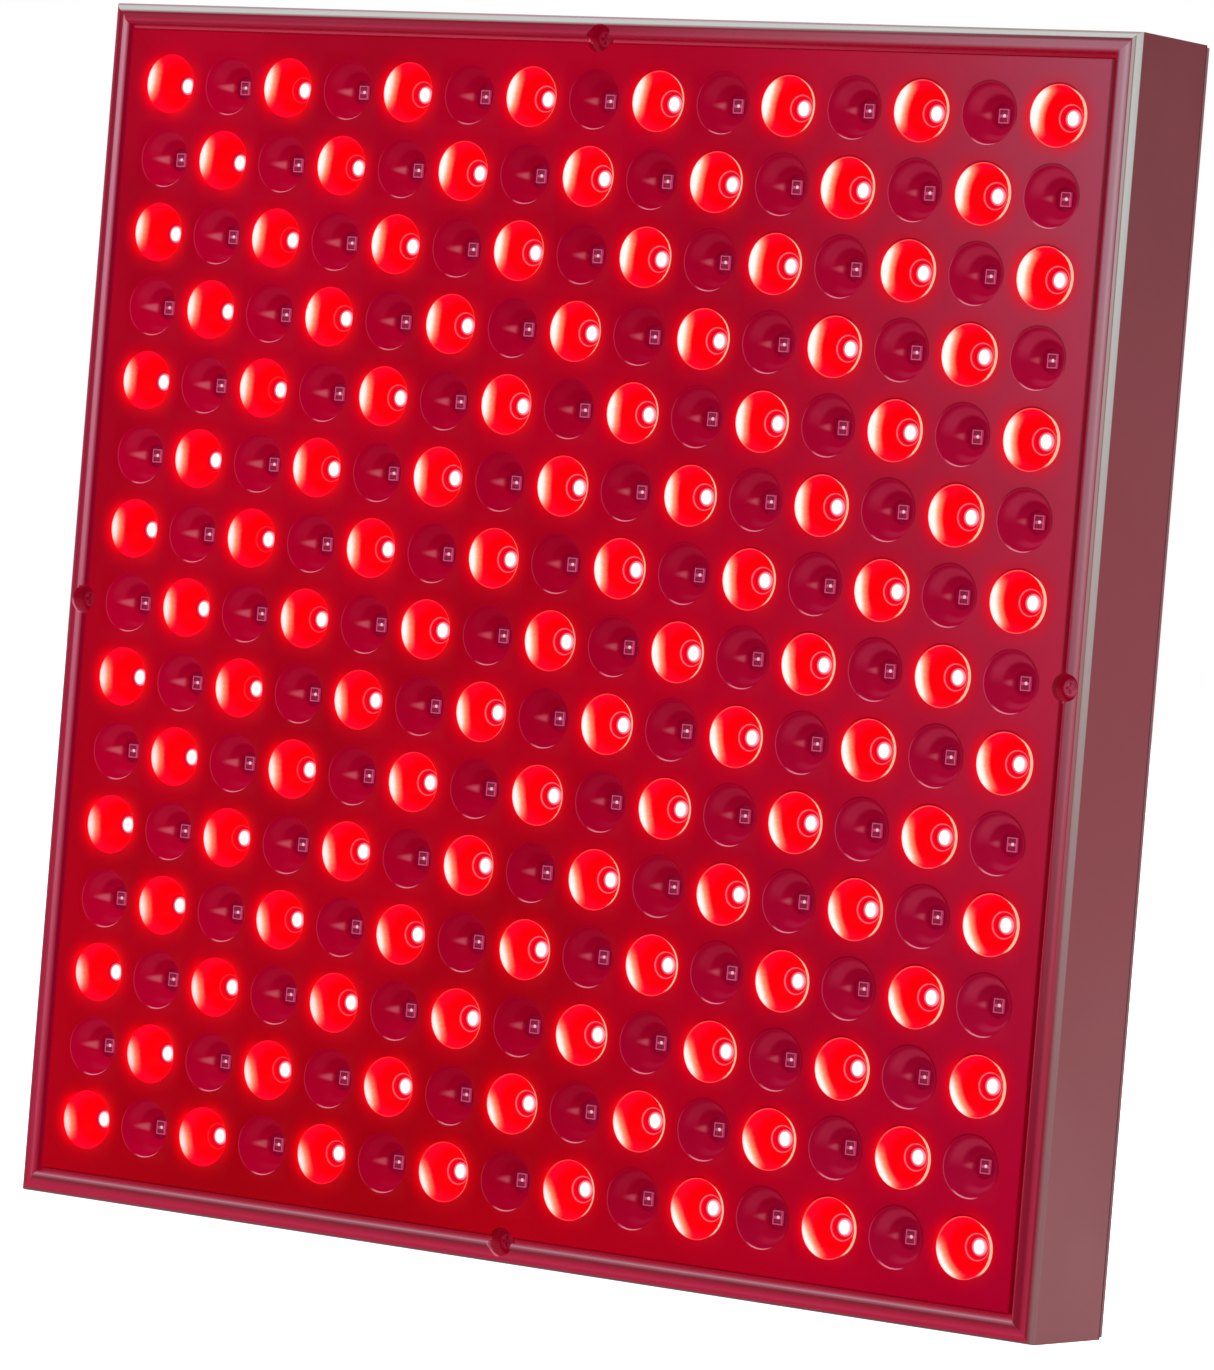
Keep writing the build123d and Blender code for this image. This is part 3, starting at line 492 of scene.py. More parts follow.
def frame_finish():
    """Satin plastic of the rim and side walls, with painted light and shade on the rim and crimson screw
    wells.
    """
    paint = Paint("frame_plastic", Specular_IOR_Level=0.08, Emission_Strength=1.0)
    clouds, fine = paint.noise(40.0), paint.noise(0.7, 3.0)
    brushed = paint.noise(2.0, 3.0, 0.6, (1, 1, 0.05))
    up = paint.z - middle
    reach = abs(paint.x).larger(abs(up))
    # 1 on the right, left and top sides of the rim, with a soft change at the mitres
    right = (paint.x - abs(up)).ramp(-0.15, 0.15)
    left = (paint.x + abs(up)).ramp(0.15, -0.15)
    top = (up - abs(paint.x)).ramp(-0.15, 0.15)
    # The way over the rim's section: below zero round the outer edge, then inwards over the face
    on_edge = reach.ramp(panel_half - 1.9, panel_half - 1.6)
    way = panel_half - reach - (paint.y - face_y).larger(0.0) * on_edge
    front = paint.y.ramp(face_y + 2.5, face_y + 2.1) * (way - section_start).ramp(-0.2, 0.1)
    tone = paint.mix(front, wall_tone(paint, up, clouds), rim_tone(paint, up, way, right, left, top))
    # The screw wells: crimson inside, with a painted highlight on the lower left lip
    under = 1 - right - left - top
    beside, above = paint.x - (right - left) * well_reach, up - (top - under) * well_reach
    well = distance(beside, above)
    inside = well.ramp(well_radius + 0.1, well_radius - 0.05) * paint.y.ramp(crown_y + 0.9, crown_y + 1.4)
    tone = paint.mix(inside, tone, seen(158, 0, 38))
    low_left = ((beside + above) / well.larger(near_zero)).ramp(-0.9, -1.3)
    lip = well.near(well_radius + 0.15, 0.1, 0.2) * low_left * (1 - inside)
    tone = paint.mix(lip * 0.8, tone, seen(226, 130, 150))
    paint.link("Base Color", tone)
    # The lamps' red light inside the wells and on the rim's inner step
    inner_step = way.ramp(5.2, 5.6) * way.ramp(7.5, 7.3) * front
    paint.link("Emission Color", paint.mix((inside + inner_step).kept(), seen(0, 0, 0), seen(100, 0, 20)))
    paint.link("Roughness", 0.42 - front * 0.1 + (fine - 0.5) * 0.14 + (brushed - 0.5) * 0.06)
    paint.bump(fine * 0.6 + brushed * 0.4, 0.02)
    return paint.quiet()


def lacquer_finish():
    """Crimson lacquer on the rim's screws, with painted rosy light where the right one faces the light
    and a faint painted red glow.
    """
    # The faint dark red glow is painted light that lifts the shade in the heads' cross recesses
    paint = Paint(
        "lacquered_steel", Specular_IOR_Level=0.05, Emission_Color=seen(84, 4, 22), Emission_Strength=1.0
    )
    fine, worn = paint.noise(0.4, 3.0), paint.noise(2.0, 3.0).ramp(0.35, 0.65)
    crimson = paint.mix(worn, seen(138, 4, 34), seen(152, 16, 46))
    # Painted light: the right screw turns rosy where light falls on it
    rosy = paint.mix(worn, seen(154, 54, 80), seen(178, 82, 108))
    paint.link("Base Color", paint.mix(paint.x.ramp(well_reach - 6, well_reach - 3), crimson, rosy))
    paint.link("Roughness", 0.34 + (fine - 0.5) * 0.16)
    paint.bump(fine, 0.02)
    return paint.quiet()


def lit_lamp_finish():
    """A lamp at full light, white-hot in the middle and rosy at its edge."""
    paint = Paint("red_lamp", Emission_Strength=1.3)
    cell = Cells(paint)
    fine = paint.noise(0.3, 3.0)
    edge = (cell.x * cell.x / 2.2 + cell.z * cell.z / 3.4).math("SQRT").ramp(0.8, 1.0)
    paint.link("Base Color", paint.mix(edge, seen(255, 246, 240), seen(250, 180, 190)))
    paint.link("Emission Color", paint.mix(edge, seen(255, 250, 246), seen(255, 170, 186)))
    paint.link("Roughness", 0.4 + (fine - 0.5) * 0.2)
    paint.bump(fine, 0.01)
    return paint.quiet()


def unlit_lamp_finish():
    """An infrared lamp, not lit: a pink package rim, a dark window with a pink bar and a bright bond
    spot, all with a faint painted glow.
    """
    paint = Paint("infrared_lamp", Specular_IOR_Level=0.15, Emission_Strength=0.7)
    cell = Cells(paint)
    fine = paint.noise(0.25, 3.0)
    window = abs(cell.x).ramp(1.12, 1.0) * abs(cell.z).ramp(1.5, 1.38)
    bar = abs(cell.z).ramp(0.42, 0.28) * window
    spot = distance(cell.x - 0.1, cell.z - 0.1).ramp(0.5, 0.3)
    colour = paint.mix(window, seen(208, 76, 122), seen(118, 10, 48))
    colour = paint.mix(bar * 0.9, colour, seen(202, 78, 122))
    colour = paint.mix(spot, colour, seen(255, 214, 232))
    paint.link("Base Color", paint.mix((fine - 0.3) * 0.4, colour, seen(160, 30, 80)))
    # Painted glow: the package shows half its own colour as light, though it is not lit
    paint.link("Emission Color", paint.mix(0.5, colour, seen(0, 0, 0)))
    paint.link("Roughness", 0.3 + (fine - 0.5) * 0.2)
    paint.bump(fine, 0.01)
    return paint.quiet()


def board_finish(name, colour, track, pitch_mm, **fixed):
    """Coated laminate: the tracks show through as slightly raised bands."""
    paint = Paint(name, **fixed)
    fine, patches = paint.noise(0.8, 3.0), paint.noise(14.0, 1.0)
    bands = abs((paint.x / pitch_mm).math("FRACT") - 0.5).ramp(0.3, 0.34)
    rows = abs((paint.z / pitch_mm).math("FRACT") - 0.5).ramp(0.3, 0.34)
    tracks = (bands * patches.ramp(0.45, 0.5)).larger(rows * patches.ramp(0.55, 0.5))
    paint.link("Base Color", paint.mix(tracks * 0.8, colour, track))
    paint.link("Roughness", 0.34 + (fine - 0.5) * 0.1 + tracks * 0.05)
    paint.bump(tracks * 0.8 + fine * 0.2, 0.03)
    return paint


def lamp_board_finish():
    """White lacquer over laminate, painted dark red under the cups' holes, with a painted red glow there
    that turns pink-white close to each lit lamp.
    """
    paint = board_finish(
        "board_laminate", seen(222, 224, 220), seen(240, 240, 236), 4.0,
        Specular_IOR_Level=0.04, Emission_Strength=1.0,
    )
    cell = Cells(paint)
    # Painted light: the board under the holes is dark red instead of white
    hole = cell.reach.ramp(cup_hole + 0.4, cup_hole) * paint.y.ramp(board_y + 0.5, board_y + 0.2)
    base = paint.shader.inputs["Base Color"].links[0].from_socket
    paint.link("Base Color", paint.mix(hole, base, seen(110, 0, 26)))
    # Painted glow in the holes: pink-white close to a lit lamp, dark red elsewhere
    close = cell.reach.ramp(2.4, 1.7)
    shine = paint.mix(close, seen(196, 0, 26), seen(255, 150, 160))
    shine = paint.mix(cell.lit, seen(104, 0, 34), shine)
    paint.link("Emission Color", paint.mix(hole, seen(0, 0, 0), shine))
    return paint.quiet()


def wound_finish():
    """Enamelled copper wire in close turns."""
    paint = Paint("wound_copper", Metallic=0.8)
    wire = 0.45
    turns = abs((paint.z / wire).math("FRACT") - 0.5) * 2
    stains = paint.noise(3.0, 3.0)
    paint.link("Base Color", paint.mix(stains.ramp(0.3, 0.7), seen(166, 84, 40), seen(196, 112, 58)))
    paint.link("Roughness", 0.28 + stains * 0.2)
    paint.bump((1 - turns * turns).kept(), 0.15)
    return paint.material


def glass_finish():
    """The fuse's slightly clouded body between metal caps at both ends."""
    paint = Paint("fuse_glass", Specular_IOR_Level=0.6)
    fuse_low, fuse_high = edges_of("fuse")
    end = abs(paint.x - (fuse_low.x + fuse_high.x) / 2).ramp(4.6, 4.8)
    stains = paint.noise(1.6, 3.0)
    body = paint.mix(stains.ramp(0.4, 0.7), seen(206, 214, 212), seen(182, 190, 190))
    paint.link("Base Color", paint.mix(end, body, seen(196, 192, 184)))
    paint.link("Metallic", end)
    paint.link("Roughness", 0.08 + end * 0.24 + stains * 0.06)
    paint.bump(stains, 0.01)
    return paint.material


# ---------------------------------------------------------------- making pieces

def start_clean():
    """Leaves edit mode with nothing selected."""
    if bpy.context.object and bpy.context.object.mode != "OBJECT":
        bpy.ops.object.mode_set(mode="OBJECT")
    bpy.ops.object.select_all(action="DESELECT")


def take(obj):
    """Makes the piece the one that is selected."""
    start_clean()
    obj.select_set(True)
    bpy.context.view_layer.objects.active = obj


def editing(obj, chosen="DESELECT"):
    """Opens the piece's mesh with all or none of it selected."""
    take(obj)
    bpy.ops.object.mode_set(mode="EDIT")
    bpy.ops.mesh.select_mode(type="VERT")
    bpy.ops.mesh.select_all(action=chosen)


def choose(obj, rule, kind="VERT"):
    """Selects the vertices or faces whose place in millimetres fits the rule."""
    editing(obj)
    bpy.ops.object.mode_set(mode="OBJECT")
    if kind == "FACE":
        for face in obj.data.polygons:
            face.select = rule(face.center / MM)
    else:
        for point in obj.data.vertices:
            point.select = rule(point.co / MM)
    bpy.ops.object.mode_set(mode="EDIT")
    bpy.ops.mesh.select_mode(type=kind)


def settle(obj, name):
    """Names the piece and puts its place into its mesh."""
    take(obj)
    bpy.ops.object.transform_apply(location=True, rotation=True, scale=True)
    obj.name = obj.data.name = name
    return obj


def make_whole(obj):
    """Merges points that meet and turns all faces outwards."""
    editing(obj, "SELECT")
    bpy.ops.mesh.remove_doubles(threshold=merge_reach * MM)
    bpy.ops.mesh.normals_make_consistent(inside=False)
    bpy.ops.object.mode_set(mode="OBJECT")


def add_modifier(obj, kind, **settings):
    """Adds a modifier to the piece and applies it."""
    take(obj)
    made = obj.modifiers.new(kind.lower(), kind)
    for setting, value in settings.items():
        setattr(made, setting, value)
    bpy.ops.object.modifier_apply(modifier=made.name)


def soften(obj, width, segments, angle=32):
    """Rounds the sharp edges by this many millimetres and shades the rest smoothly."""
    add_modifier(
        obj, "BEVEL", width=width * MM, segments=segments, limit_method="ANGLE",
        angle_limit=math.radians(angle), use_clamp_overlap=True, harden_normals=False,
    )
    take(obj)
    bpy.ops.object.shade_smooth_by_angle(angle=math.radians(38))
    add_modifier(obj, "WEIGHTED_NORMAL", keep_sharp=True, weight=100)


def cut(obj, cutter, how="DIFFERENCE"):
    """Takes the cutter out of the piece, or adds it, and removes the cutter."""
    add_modifier(obj, "BOOLEAN", operation=how, solver="EXACT", object=cutter)
    bpy.data.objects.remove(cutter)


def drum(x, z, y_front, y_back, radius, sides=32):
    """A plain round bar along the panel's depth, used to build or cut a piece."""
    start_clean()
    bpy.ops.mesh.primitive_cylinder_add(
        vertices=sides, radius=radius * MM, depth=(y_back - y_front) * MM,
        location=(x * MM, (y_front + y_back) / 2 * MM, z * MM), rotation=(math.pi / 2, 0, 0),
    )
    return settle(bpy.context.object, "bar")


def copies(obj, places, name):
    """The piece copied by each step in millimetres and joined into one."""
    made = []
    for x, y, z in places:
        twin = bpy.data.objects.new(name, obj.data.copy())
        twin.data.transform(Matrix.Translation(Vector((x, y, z)) * MM))
        bpy.context.scene.collection.objects.link(twin)
        made.append(twin)
    bpy.data.objects.remove(obj)
    return joined(made, name)


def joined(parts, name):
    """Several pieces as one."""
    start_clean()
    for part in parts:
        part.select_set(True)
    bpy.context.view_layer.objects.active = parts[0]
    bpy.ops.object.join()
    return settle(bpy.context.object, name)


def dress(obj, material, replaces, body="panel"):
    """Gives the piece its material and body, and hides the CAD nodes whose place it takes."""
    obj.data.materials.clear()
    obj.data.materials.append(material)
    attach(obj, body)
    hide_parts(*replaces)


def grow(steps, start):
    """Extrudes the selected loop through (reach, depth) steps, each scaled about the line at x and z."""
    reach, y, x, z = start
    for next_reach, next_y in steps:
        bpy.ops.mesh.extrude_edges_move(TRANSFORM_OT_translate={"value": (0, (next_y - y) * MM, 0)})
        share = next_reach / reach
        bpy.ops.transform.resize(value=(share, 1, share), center_override=(x * MM, next_y * MM, z * MM))
        reach, y = next_reach, next_y


def square_loop(half, y, cuts, new=True):
    """An open square of edges that faces the front, each side in cuts + 1 parts."""
    bpy.ops.mesh.primitive_plane_add(
        size=2 * half * MM, location=(0, y * MM, middle * MM), rotation=(math.pi / 2, 0, 0)
    )
    if new:
        settle(bpy.context.object, "square")
        editing(bpy.context.object, "SELECT")
    bpy.ops.mesh.delete(type="ONLY_FACE")
    if new:
        bpy.ops.mesh.select_all(action="SELECT")
    if cuts:
        bpy.ops.mesh.subdivide(number_cuts=cuts)


def arc(start, end, rise, parts):
    """Points on an arc between two (reach, depth) points, whose middle stands rise off its chord."""
    (r0, y0), (r1, y1) = start, end
    half = math.hypot(r1 - r0, y1 - y0) / 2
    radius = (half * half + rise * rise) / (2 * abs(rise))
    sweep = 2 * math.asin(min(1.0, half / radius))
    points = []
    for n in range(1, parts + 1):
        turn = sweep * (n / parts - 0.5)
        along = 0.5 + radius * math.sin(turn) / (2 * half)
        off = radius * (math.cos(turn) - math.cos(sweep / 2)) * math.copysign(1, rise)
        normal = (-(y1 - y0) / (2 * half), (r1 - r0) / (2 * half))
        reach, y = r0 + (r1 - r0) * along, y0 + (y1 - y0) * along
        points.append((reach + normal[0] * off, y + normal[1] * off))
    return points


# ---------------------------------------------------------------- front frame

def front_frame():
    """The rim moulding and side walls: one section led round the square, mitred at the corners."""
    wall_front_y, step_y = face_y + 2.2, face_y + 1.2
    round_end, bead_start, bead_end = panel_half - 1.7, panel_half - 3.6, panel_half - 5.5
    gap, wall, boss_wall = 0.3, 2.4, 0.9
    opening, ledge_half, wall_inside = plate_half + gap, block_half + gap, panel_half - wall
    edge_rise, dip_rise, bead_rise = 0.48, -0.25, 0.6
    section = [(panel_half, wall_front_y)]
    section += arc((panel_half, wall_front_y), (round_end, face_y), edge_rise, 5)
    section += arc((round_end, face_y), (bead_start, face_y), dip_rise, 4)
    section += arc((bead_start, face_y), (bead_end, face_y), bead_rise, 6)
    section += [
        (bead_end, step_y), (opening, step_y), (opening, margin_back_y),
        (ledge_half, margin_back_y), (ledge_half, ledge_back_y), (wall_inside, ledge_back_y),
        (wall_inside, wall_end_y), (panel_half, wall_end_y),
    ]
    start_clean()
    square_loop(panel_half, wall_end_y, 0)
    made = bpy.context.object
    grow(section, (panel_half, wall_end_y, 0, middle))
    make_whole(made)
    for spot in well_spots:
        cut(made, drum(*spot, margin_back_y + 0.01, well_seat_y + 2, well_radius + boss_wall), "UNION")
    for spot in well_spots:
        cut(made, drum(*spot, crown_y - 1, well_seat_y, well_radius))
        cut(made, drum(*spot, crown_y - 1, well_seat_y + 3, screw_hole, 16))
    soften(made, 0.12, 2)
    dress(settle(made, "rim_moulding"), frame_finish(), ["front_frame"])


# ---------------------------------------------------------------- reflector plate

def reflector():
    """One cup in its square cell, repeated over the plate, with the thin margin all round."""
    start_clean()
    cell_cuts = 5
    square_loop(cup_pitch / 2, face_y, cell_cuts)
    cell = bpy.context.object
    rounded_mouth = cup_mouth + 0.12
    bpy.ops.mesh.primitive_circle_add(
        vertices=4 * (cell_cuts + 1), radius=rounded_mouth * MM, fill_type="NOTHING",
        location=(0, face_y * MM, middle * MM), rotation=(math.pi / 2, 0, 0),
    )
    bpy.ops.mesh.select_all(action="SELECT")
    bpy.ops.mesh.bridge_edge_loops()

    def on_mouth(p):
        return abs(math.hypot(p.x, p.z - middle) - rounded_mouth) < snap and abs(p.y - face_y) < snap

    choose(cell, on_mouth)
    # The bowl by its half width at shares of the cup's depth, below the mouth's rounded lip
    wall = [(6.15, 0.42), (4.7, 0.68), (cup_hole + 0.25, 0.84), (cup_hole, 0.88), (cup_hole, 1.0)]
    steps = [(cup_mouth - 0.06, face_y + 0.14), (cup_mouth - 0.25, face_y + 0.6)]
    steps += [(reach, face_y + (board_y - face_y) * share) for reach, share in wall]
    grow(steps, (rounded_mouth, face_y, 0, middle))
    bpy.ops.mesh.select_all(action="DESELECT")
    square_loop(cup_pitch / 2, board_y, cell_cuts, new=False)
    choose(cell, lambda p: abs(p.y - board_y) < snap)
    bpy.ops.mesh.bridge_edge_loops()
    bpy.ops.object.mode_set(mode="OBJECT")
    cell.data.transform(Matrix.Translation(Vector((-1, 0, -1)) * (cup_rows - 1) / 2 * cup_pitch * MM))
    for step in ((cup_pitch * MM, 0, 0), (0, 0, cup_pitch * MM)):
        add_modifier(
            cell, "ARRAY", count=cup_rows, use_relative_offset=False, use_constant_offset=True,
            constant_offset_displace=step, use_merge_vertices=True, merge_threshold=merge_reach * MM,
        )

    def on_edge(p):
        return abs(max(abs(p.x), abs(p.z - middle)) - block_half) < snap and abs(p.y - face_y) < snap

    choose(cell, on_edge)
    margin = [
        (plate_half - 0.2, face_y), (plate_half, face_y + 0.2), (plate_half, margin_back_y),
        (block_half, margin_back_y), (block_half, board_y),
    ]
    grow(margin, (block_half, face_y, 0, middle))
    make_whole(cell)
    for spot in well_spots:
        cut(cell, drum(*spot, crown_y - 1, margin_back_y + 0.5, well_radius))
    take(cell)
    bpy.ops.object.shade_smooth_by_angle(angle=math.radians(40))
    dress(settle(cell, "reflector"), reflector_finish(), ["reflector_plate"])


# ---------------------------------------------------------------- lamps

lamp_half_width, lamp_half_height = 1.4, 1.75


def lamp_places(parity):
    """The steps from the middle cup to every other cup, 0 for the lit ones and 1 for the rest."""
    first = -(cup_rows // 2)
    cells = range(first, first + cup_rows)
    return [(c * cup_pitch, 0, r * cup_pitch) for c in cells for r in cells if (c + r) % 2 == parity]


def lit_lamps():
    """Lamps whose light rounds their outline: an oval block with a domed face."""
    low, high = edges_of("red_lamps")
    oval_share, dome_edge, dome_drop, flat_reach = 0.84, 0.5, 0.3, 1.3
    lamp = drum(0, middle, low.y, high.y, lamp_half_height, 16)
    editing(lamp, "SELECT")
    bpy.ops.transform.resize(value=(oval_share, 1, 1), center_override=(0, low.y * MM, middle * MM))
    choose(lamp, lambda p: p.y < low.y + snap, "FACE")
    bpy.ops.mesh.inset(thickness=dome_edge * MM)
    bpy.ops.object.mode_set(mode="OBJECT")
    choose(lamp, lambda p: p.y < low.y + snap and math.hypot(p.x, p.z - middle) > flat_reach)
    bpy.ops.transform.translate(value=(0, dome_drop * MM, 0))
    bpy.ops.object.mode_set(mode="OBJECT")
    take(lamp)
    bpy.ops.object.shade_smooth_by_angle(angle=math.radians(60))
    dress(copies(lamp, lamp_places(0), "lit_lamps"), lit_lamp_finish(), ["red_lamps"])


def unlit_lamps():
    """Lamp packages as they are: a block with a sunk window in its face."""
    low, high = edges_of("infrared_lamps")
    centre = (0, (low.y + high.y) / 2 * MM, middle * MM)
    window_edge, window_slope, window_depth = 0.35, 0.05, 0.22
    start_clean()
    bpy.ops.mesh.primitive_cube_add(size=2 * MM, location=centre)
    lamp = settle(bpy.context.object, "package")
    editing(lamp, "SELECT")
    half_sizes = (lamp_half_width, (high.y - low.y) / 2, lamp_half_height)
    bpy.ops.transform.resize(value=half_sizes, center_override=centre)
    choose(lamp, lambda p: p.y < low.y + snap, "FACE")
    bpy.ops.mesh.inset(thickness=window_edge * MM)
    bpy.ops.mesh.inset(thickness=window_slope * MM, depth=-window_depth * MM)
    bpy.ops.object.mode_set(mode="OBJECT")
    add_modifier(lamp, "BEVEL", width=0.06 * MM, segments=1, limit_method="ANGLE", angle_limit=0.9)
    made = copies(lamp, lamp_places(1), "unlit_lamps")
    dress(made, unlit_lamp_finish(), ["infrared_lamps"])


# ---------------------------------------------------------------- screws

def cross_screw(seat_y, towards, radius, height, length):
    """A pan-head screw on the panel's middle line: its head rises from the seat the way that towards
    says, 1 or -1, and its shank goes the other way."""
    rounded, slope, recess_long, recess_wide, recess_depth = 0.22, 0.3, 1.15, 0.3, 0.8
    top_y = seat_y + towards * height
    head = drum(0, middle, min(seat_y, top_y), max(seat_y, top_y), radius, 28)
    choose(head, lambda p: abs(p.y - top_y) < snap, "FACE")
    bpy.ops.mesh.inset(thickness=radius * rounded * MM)
    bpy.ops.object.mode_set(mode="OBJECT")
    choose(head, lambda p: abs(p.y - top_y) < snap and math.hypot(p.x, p.z - middle) > radius - snap)
    bpy.ops.transform.translate(value=(0, -towards * height * slope * MM, 0))
    bpy.ops.object.mode_set(mode="OBJECT")
    for wide, tall in ((recess_long, recess_wide), (recess_wide, recess_long)):
        start_clean()
        bpy.ops.mesh.primitive_cube_add(size=MM, location=(0, top_y * MM, middle * MM))
        blade = bpy.context.object
        blade.scale = (radius * wide, height * recess_depth, radius * tall)
        cut(head, settle(blade, "blade"))
    soften(head, 0.08, 1, 30)
    far_y = seat_y - towards * length
    rod = drum(0, middle, min(seat_y, far_y), max(seat_y, far_y), screw_shank, 16)
    return joined([head, rod], "screw")


def screw_set(name, node, screw, spots, material):
    """The screw copied to each (x, z) spot."""
    made = copies(screw, [(x, 0, z - middle) for x, z in spots], name)
    dress(made, material, [node])


# ---------------------------------------------------------------- pieces taken over from CAD nodes

def softened(node, name, width, slot, body="panel", segments=2):
    """A copy of a CAD node, its triangles made whole faces again and its edges rounded."""
    made = bpy.data.objects.new(name, nodes[node].data.copy())
    bpy.context.scene.collection.objects.link(made)
    editing(made, "SELECT")
    bpy.ops.mesh.customdata_custom_splitnormals_clear()
    bpy.ops.mesh.remove_doubles(threshold=merge_reach / 2 * MM)
    bpy.ops.mesh.dissolve_limited(angle_limit=math.radians(1))
    bpy.ops.object.mode_set(mode="OBJECT")
    soften(made, width, segments)
    dress(made, materials[slot], [node], body)


# ---------------------------------------------------------------- build

materials = {
    "lacquered_steel": lacquer_finish(),
    "board_laminate": lamp_board_finish(),
    "driver_laminate": board_finish(
        "driver_laminate", seen(34, 92, 56), seen(52, 122, 74), 3.0, Specular_IOR_Level=0.4
    ).material,
    "fuse_glass": glass_finish(),
    "wound_copper": wound_finish(),
}

# Each by its colour and roughness, and some by the size, spread of tone and depth of their grain
for name, settings in {
    "sheet_film": (seen(216, 204, 170), 0.3, 0.8, 0.04, 0.01),
    "cover_plastic": (seen(134, 58, 66), 0.5, 0.7, 0.025, 0.03),
    "black_plastic": (seen(30, 30, 32), 0.4, 0.5, 0.08, 0.02),
    "block_plastic": (seen(46, 128, 78), 0.42),
    "black_epoxy": (seen(34, 34, 36), 0.55, 0.35, 0.1, 0.02),
    "capacitor_sleeve": (seen(34, 44, 78), 0.24, 1.2, 0.05, 0.01),
    "ferrite": (seen(62, 60, 60), 0.62, 0.4, 0.1, 0.03),
    "bobbin_plastic": (seen(40, 38, 36), 0.4),
    "brown_insulation": (seen(112, 66, 36), 0.38, 0.5),
    "blue_insulation": (seen(40, 82, 168), 0.38, 0.5),
    "green_insulation": (seen(64, 140, 60), 0.38, 0.5),
    "red_insulation": (seen(180, 34, 34), 0.38, 0.5),
    "connector_plastic": (seen(232, 230, 222), 0.42, 0.5, 0.03),
}.items():
    materials[name] = moulded(name, *settings)

# Each by its colour and roughness, and some by the stretch and depth of their working marks
for name, settings in {
    "screw_steel": (seen(190, 186, 182), 0.32),
    "brass": (seen(206, 170, 96), 0.28),
    "pin_metal": (seen(206, 206, 204), 0.22, (0.1, 1, 1)),
    "sink_aluminium": (seen(196, 198, 200), 0.34, (1, 1, 0.08), 0.02),
}.items():
    materials[name] = metal(name, *settings)

front_frame()
reflector()
lit_lamps()
unlit_lamps()

rim_screw = cross_screw(well_seat_y, -1, rim_head, rim_head_height, screws_high.y - well_seat_y)
screw_set("rim_screws", "front_screws", rim_screw, well_spots, materials["lacquered_steel"])

cover_screws_low, cover_screws_high = edges_of("cover_screws")
lid_y = cover_screws_high.y - lid_head_height
corner = cover_screws_high.x - lid_head
corner_spots = [(sx * corner, middle + sz * corner) for sx in (-1, 1) for sz in (-1, 1)]
lid_screw = cross_screw(lid_y, 1, lid_head, lid_head_height, lid_y - cover_screws_low.y)
screw_set("lid_screws", "cover_screws", lid_screw, corner_spots, materials["screw_steel"])

softened("rear_cover", "lid", 0.3, "cover_plastic")
softened("inlet_housing", "inlet_body", 0.25, "black_plastic")
softened("inlet_pins", "inlet_blades", 0.2, "pin_metal")
softened("switch_housing", "switch_body", 0.25, "black_plastic")
softened("rocker", "rocker_cap", 0.3, "black_plastic", "switch_rocker")
softened("threaded_inserts", "brass_inserts", 0.12, "brass", segments=1)

# The pieces inside keep the CAD's shape and only get their materials
for slot, names in {
    "screw_steel": ["board_screws", "driver_screws"],
    "board_laminate": ["lamp_board"],
    "sheet_film": ["insulating_sheet"],
    "pin_metal": ["switch_terminals", "fuse_clips"],
    "driver_laminate": ["driver_board"],
    "block_plastic": ["input_block", "output_block"],
    "fuse_glass": ["fuse"],
    "wound_copper": ["line_choke", "transformer_winding"],
    "black_epoxy": ["rectifier", "transistor"],
    "capacitor_sleeve": ["bulk_capacitor", "output_capacitors"],
    "sink_aluminium": ["heat_sink"],
    "ferrite": ["transformer_core"],
    "bobbin_plastic": ["transformer_bobbin"],
    "brown_insulation": ["live_lead", "switched_lead"],
    "blue_insulation": ["neutral_lead"],
    "green_insulation": ["earth_lead"],
    "red_insulation": ["output_leads"],
    "connector_plastic": ["lamp_board_connector"],
}.items():
    for name in names:
        nodes[name].data.materials.clear()
        nodes[name].data.materials.append(materials[slot])


# ---------------------------------------------------------------- floor, light and camera

def seen_directly(tree):
    """1 for rays that come straight from the camera, off a gloss or through glass, and 0 for the rest."""
    path = tree.nodes.new("ShaderNodeLightPath")
    total = path.outputs["Is Camera Ray"]
    for ray in ("Is Glossy Ray", "Is Transmission Ray"):
        add = tree.nodes.new("ShaderNodeMath")
        add.operation, add.use_clamp = "ADD", True
        tree.links.new(total, add.inputs[0])
        tree.links.new(path.outputs[ray], add.inputs[1])
        total = add.outputs[0]
    return total


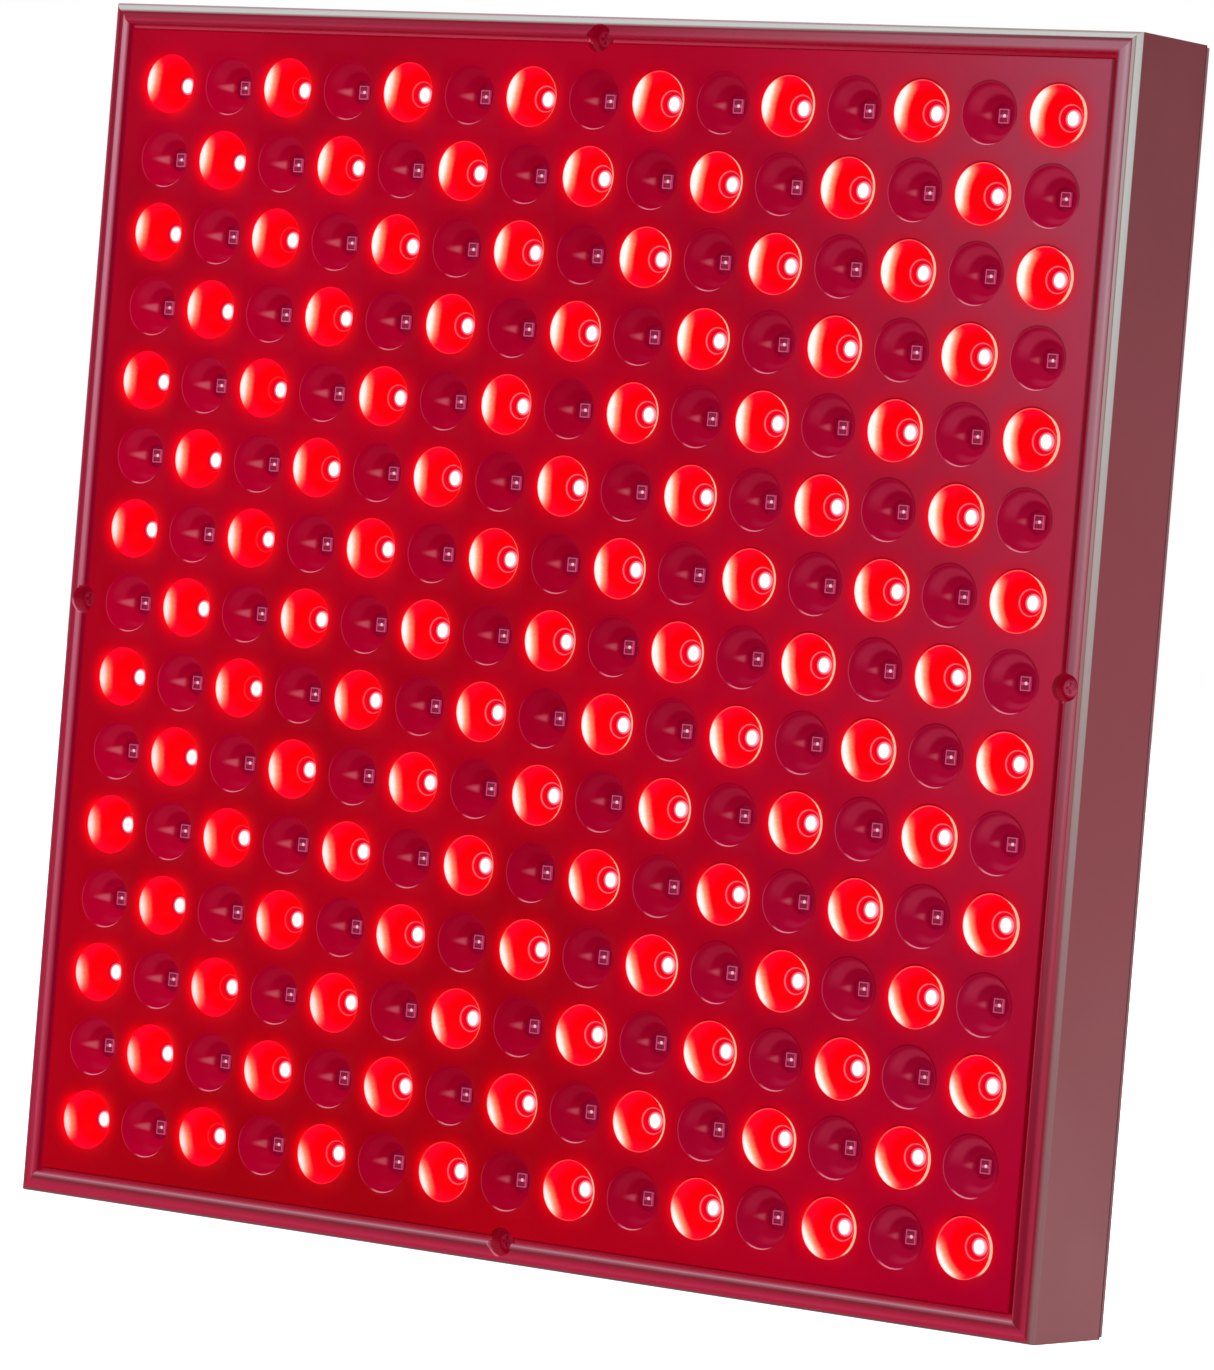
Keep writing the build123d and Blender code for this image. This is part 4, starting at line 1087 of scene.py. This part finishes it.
# The surroundings look white and light the panel a little less strongly
white = (1.0, 1.0, 1.0, 1.0)
world = bpy.data.worlds.new("studio")
bpy.context.scene.world = world
world.use_nodes = True
tree = world.node_tree
strength = tree.nodes.new("ShaderNodeMapRange")
strength.inputs["To Min"].default_value = 0.55
strength.inputs["To Max"].default_value = 1.0
background = tree.nodes["Background"]
background.inputs["Color"].default_value = white
tree.links.new(seen_directly(tree), strength.inputs["Value"])
tree.links.new(strength.outputs["Result"], background.inputs["Strength"])

start_clean()
bpy.ops.mesh.primitive_plane_add(size=12.0, location=(0, 0, cad_low.z))
floor = settle(bpy.context.object, "floor")
floor_paint = bpy.data.materials.new("pale_floor")
floor_paint.use_nodes = True
tree = floor_paint.node_tree
floor_shader = tree.nodes["Principled BSDF"]
for socket, value in {
    "Base Color": (0.9, 0.9, 0.9, 1.0), "Roughness": 0.9,
    "Specular IOR Level": 0.1, "Emission Color": white,
}.items():
    floor_shader.inputs[socket].default_value = value
tree.links.new(seen_directly(tree), floor_shader.inputs["Emission Strength"])
floor.data.materials.append(floor_paint)


def softbox(name, place, size, watts):
    """A square area lamp that looks at the panel's middle."""
    data = bpy.data.lights.new(name, "AREA")
    data.shape, data.size, data.energy = "SQUARE", size, watts
    made = bpy.data.objects.new(name, data)
    made.location = place
    aim = Vector((0, 0, middle * MM)) - Vector(place)
    made.rotation_euler = aim.to_track_quat("-Z", "Y").to_euler()
    bpy.context.scene.collection.objects.link(made)


softbox("key_light", (0.9, -1.5, 1.5), 1.0, 14)
softbox("fill_light", (-1.4, -1.4, 0.8), 1.2, 7)
softbox("back_light", (0.4, 1.6, 1.2), 1.2, 10)

camera_data = bpy.data.cameras.new("camera")
camera = bpy.data.objects.new("camera", camera_data)
bpy.context.scene.collection.objects.link(camera)
# The focal length in pixels of the photograph, whose longer side the sensor's width spans
focal_pixels, longer_side = 7015, 1370
camera_data.sensor_width = 36.0
camera_data.lens = focal_pixels * camera_data.sensor_width / longer_side
forward = Vector((-0.5741, 0.8186, -0.0184)).normalized()
sideways = forward.cross(Vector((-0.0776, -0.0320, 0.9965))).normalized()
upward = sideways.cross(forward)
turn = Matrix((sideways, upward, -forward)).transposed()
camera.location = Vector((1009.4, -1430.0, 177.2)) * MM
camera.rotation_euler = turn.to_euler()
camera_data.clip_start, camera_data.clip_end = 0.05, 50
bpy.context.scene.camera = camera
bpy.context.scene.view_settings.view_transform = "Standard"

bpy.context.view_layer.update()
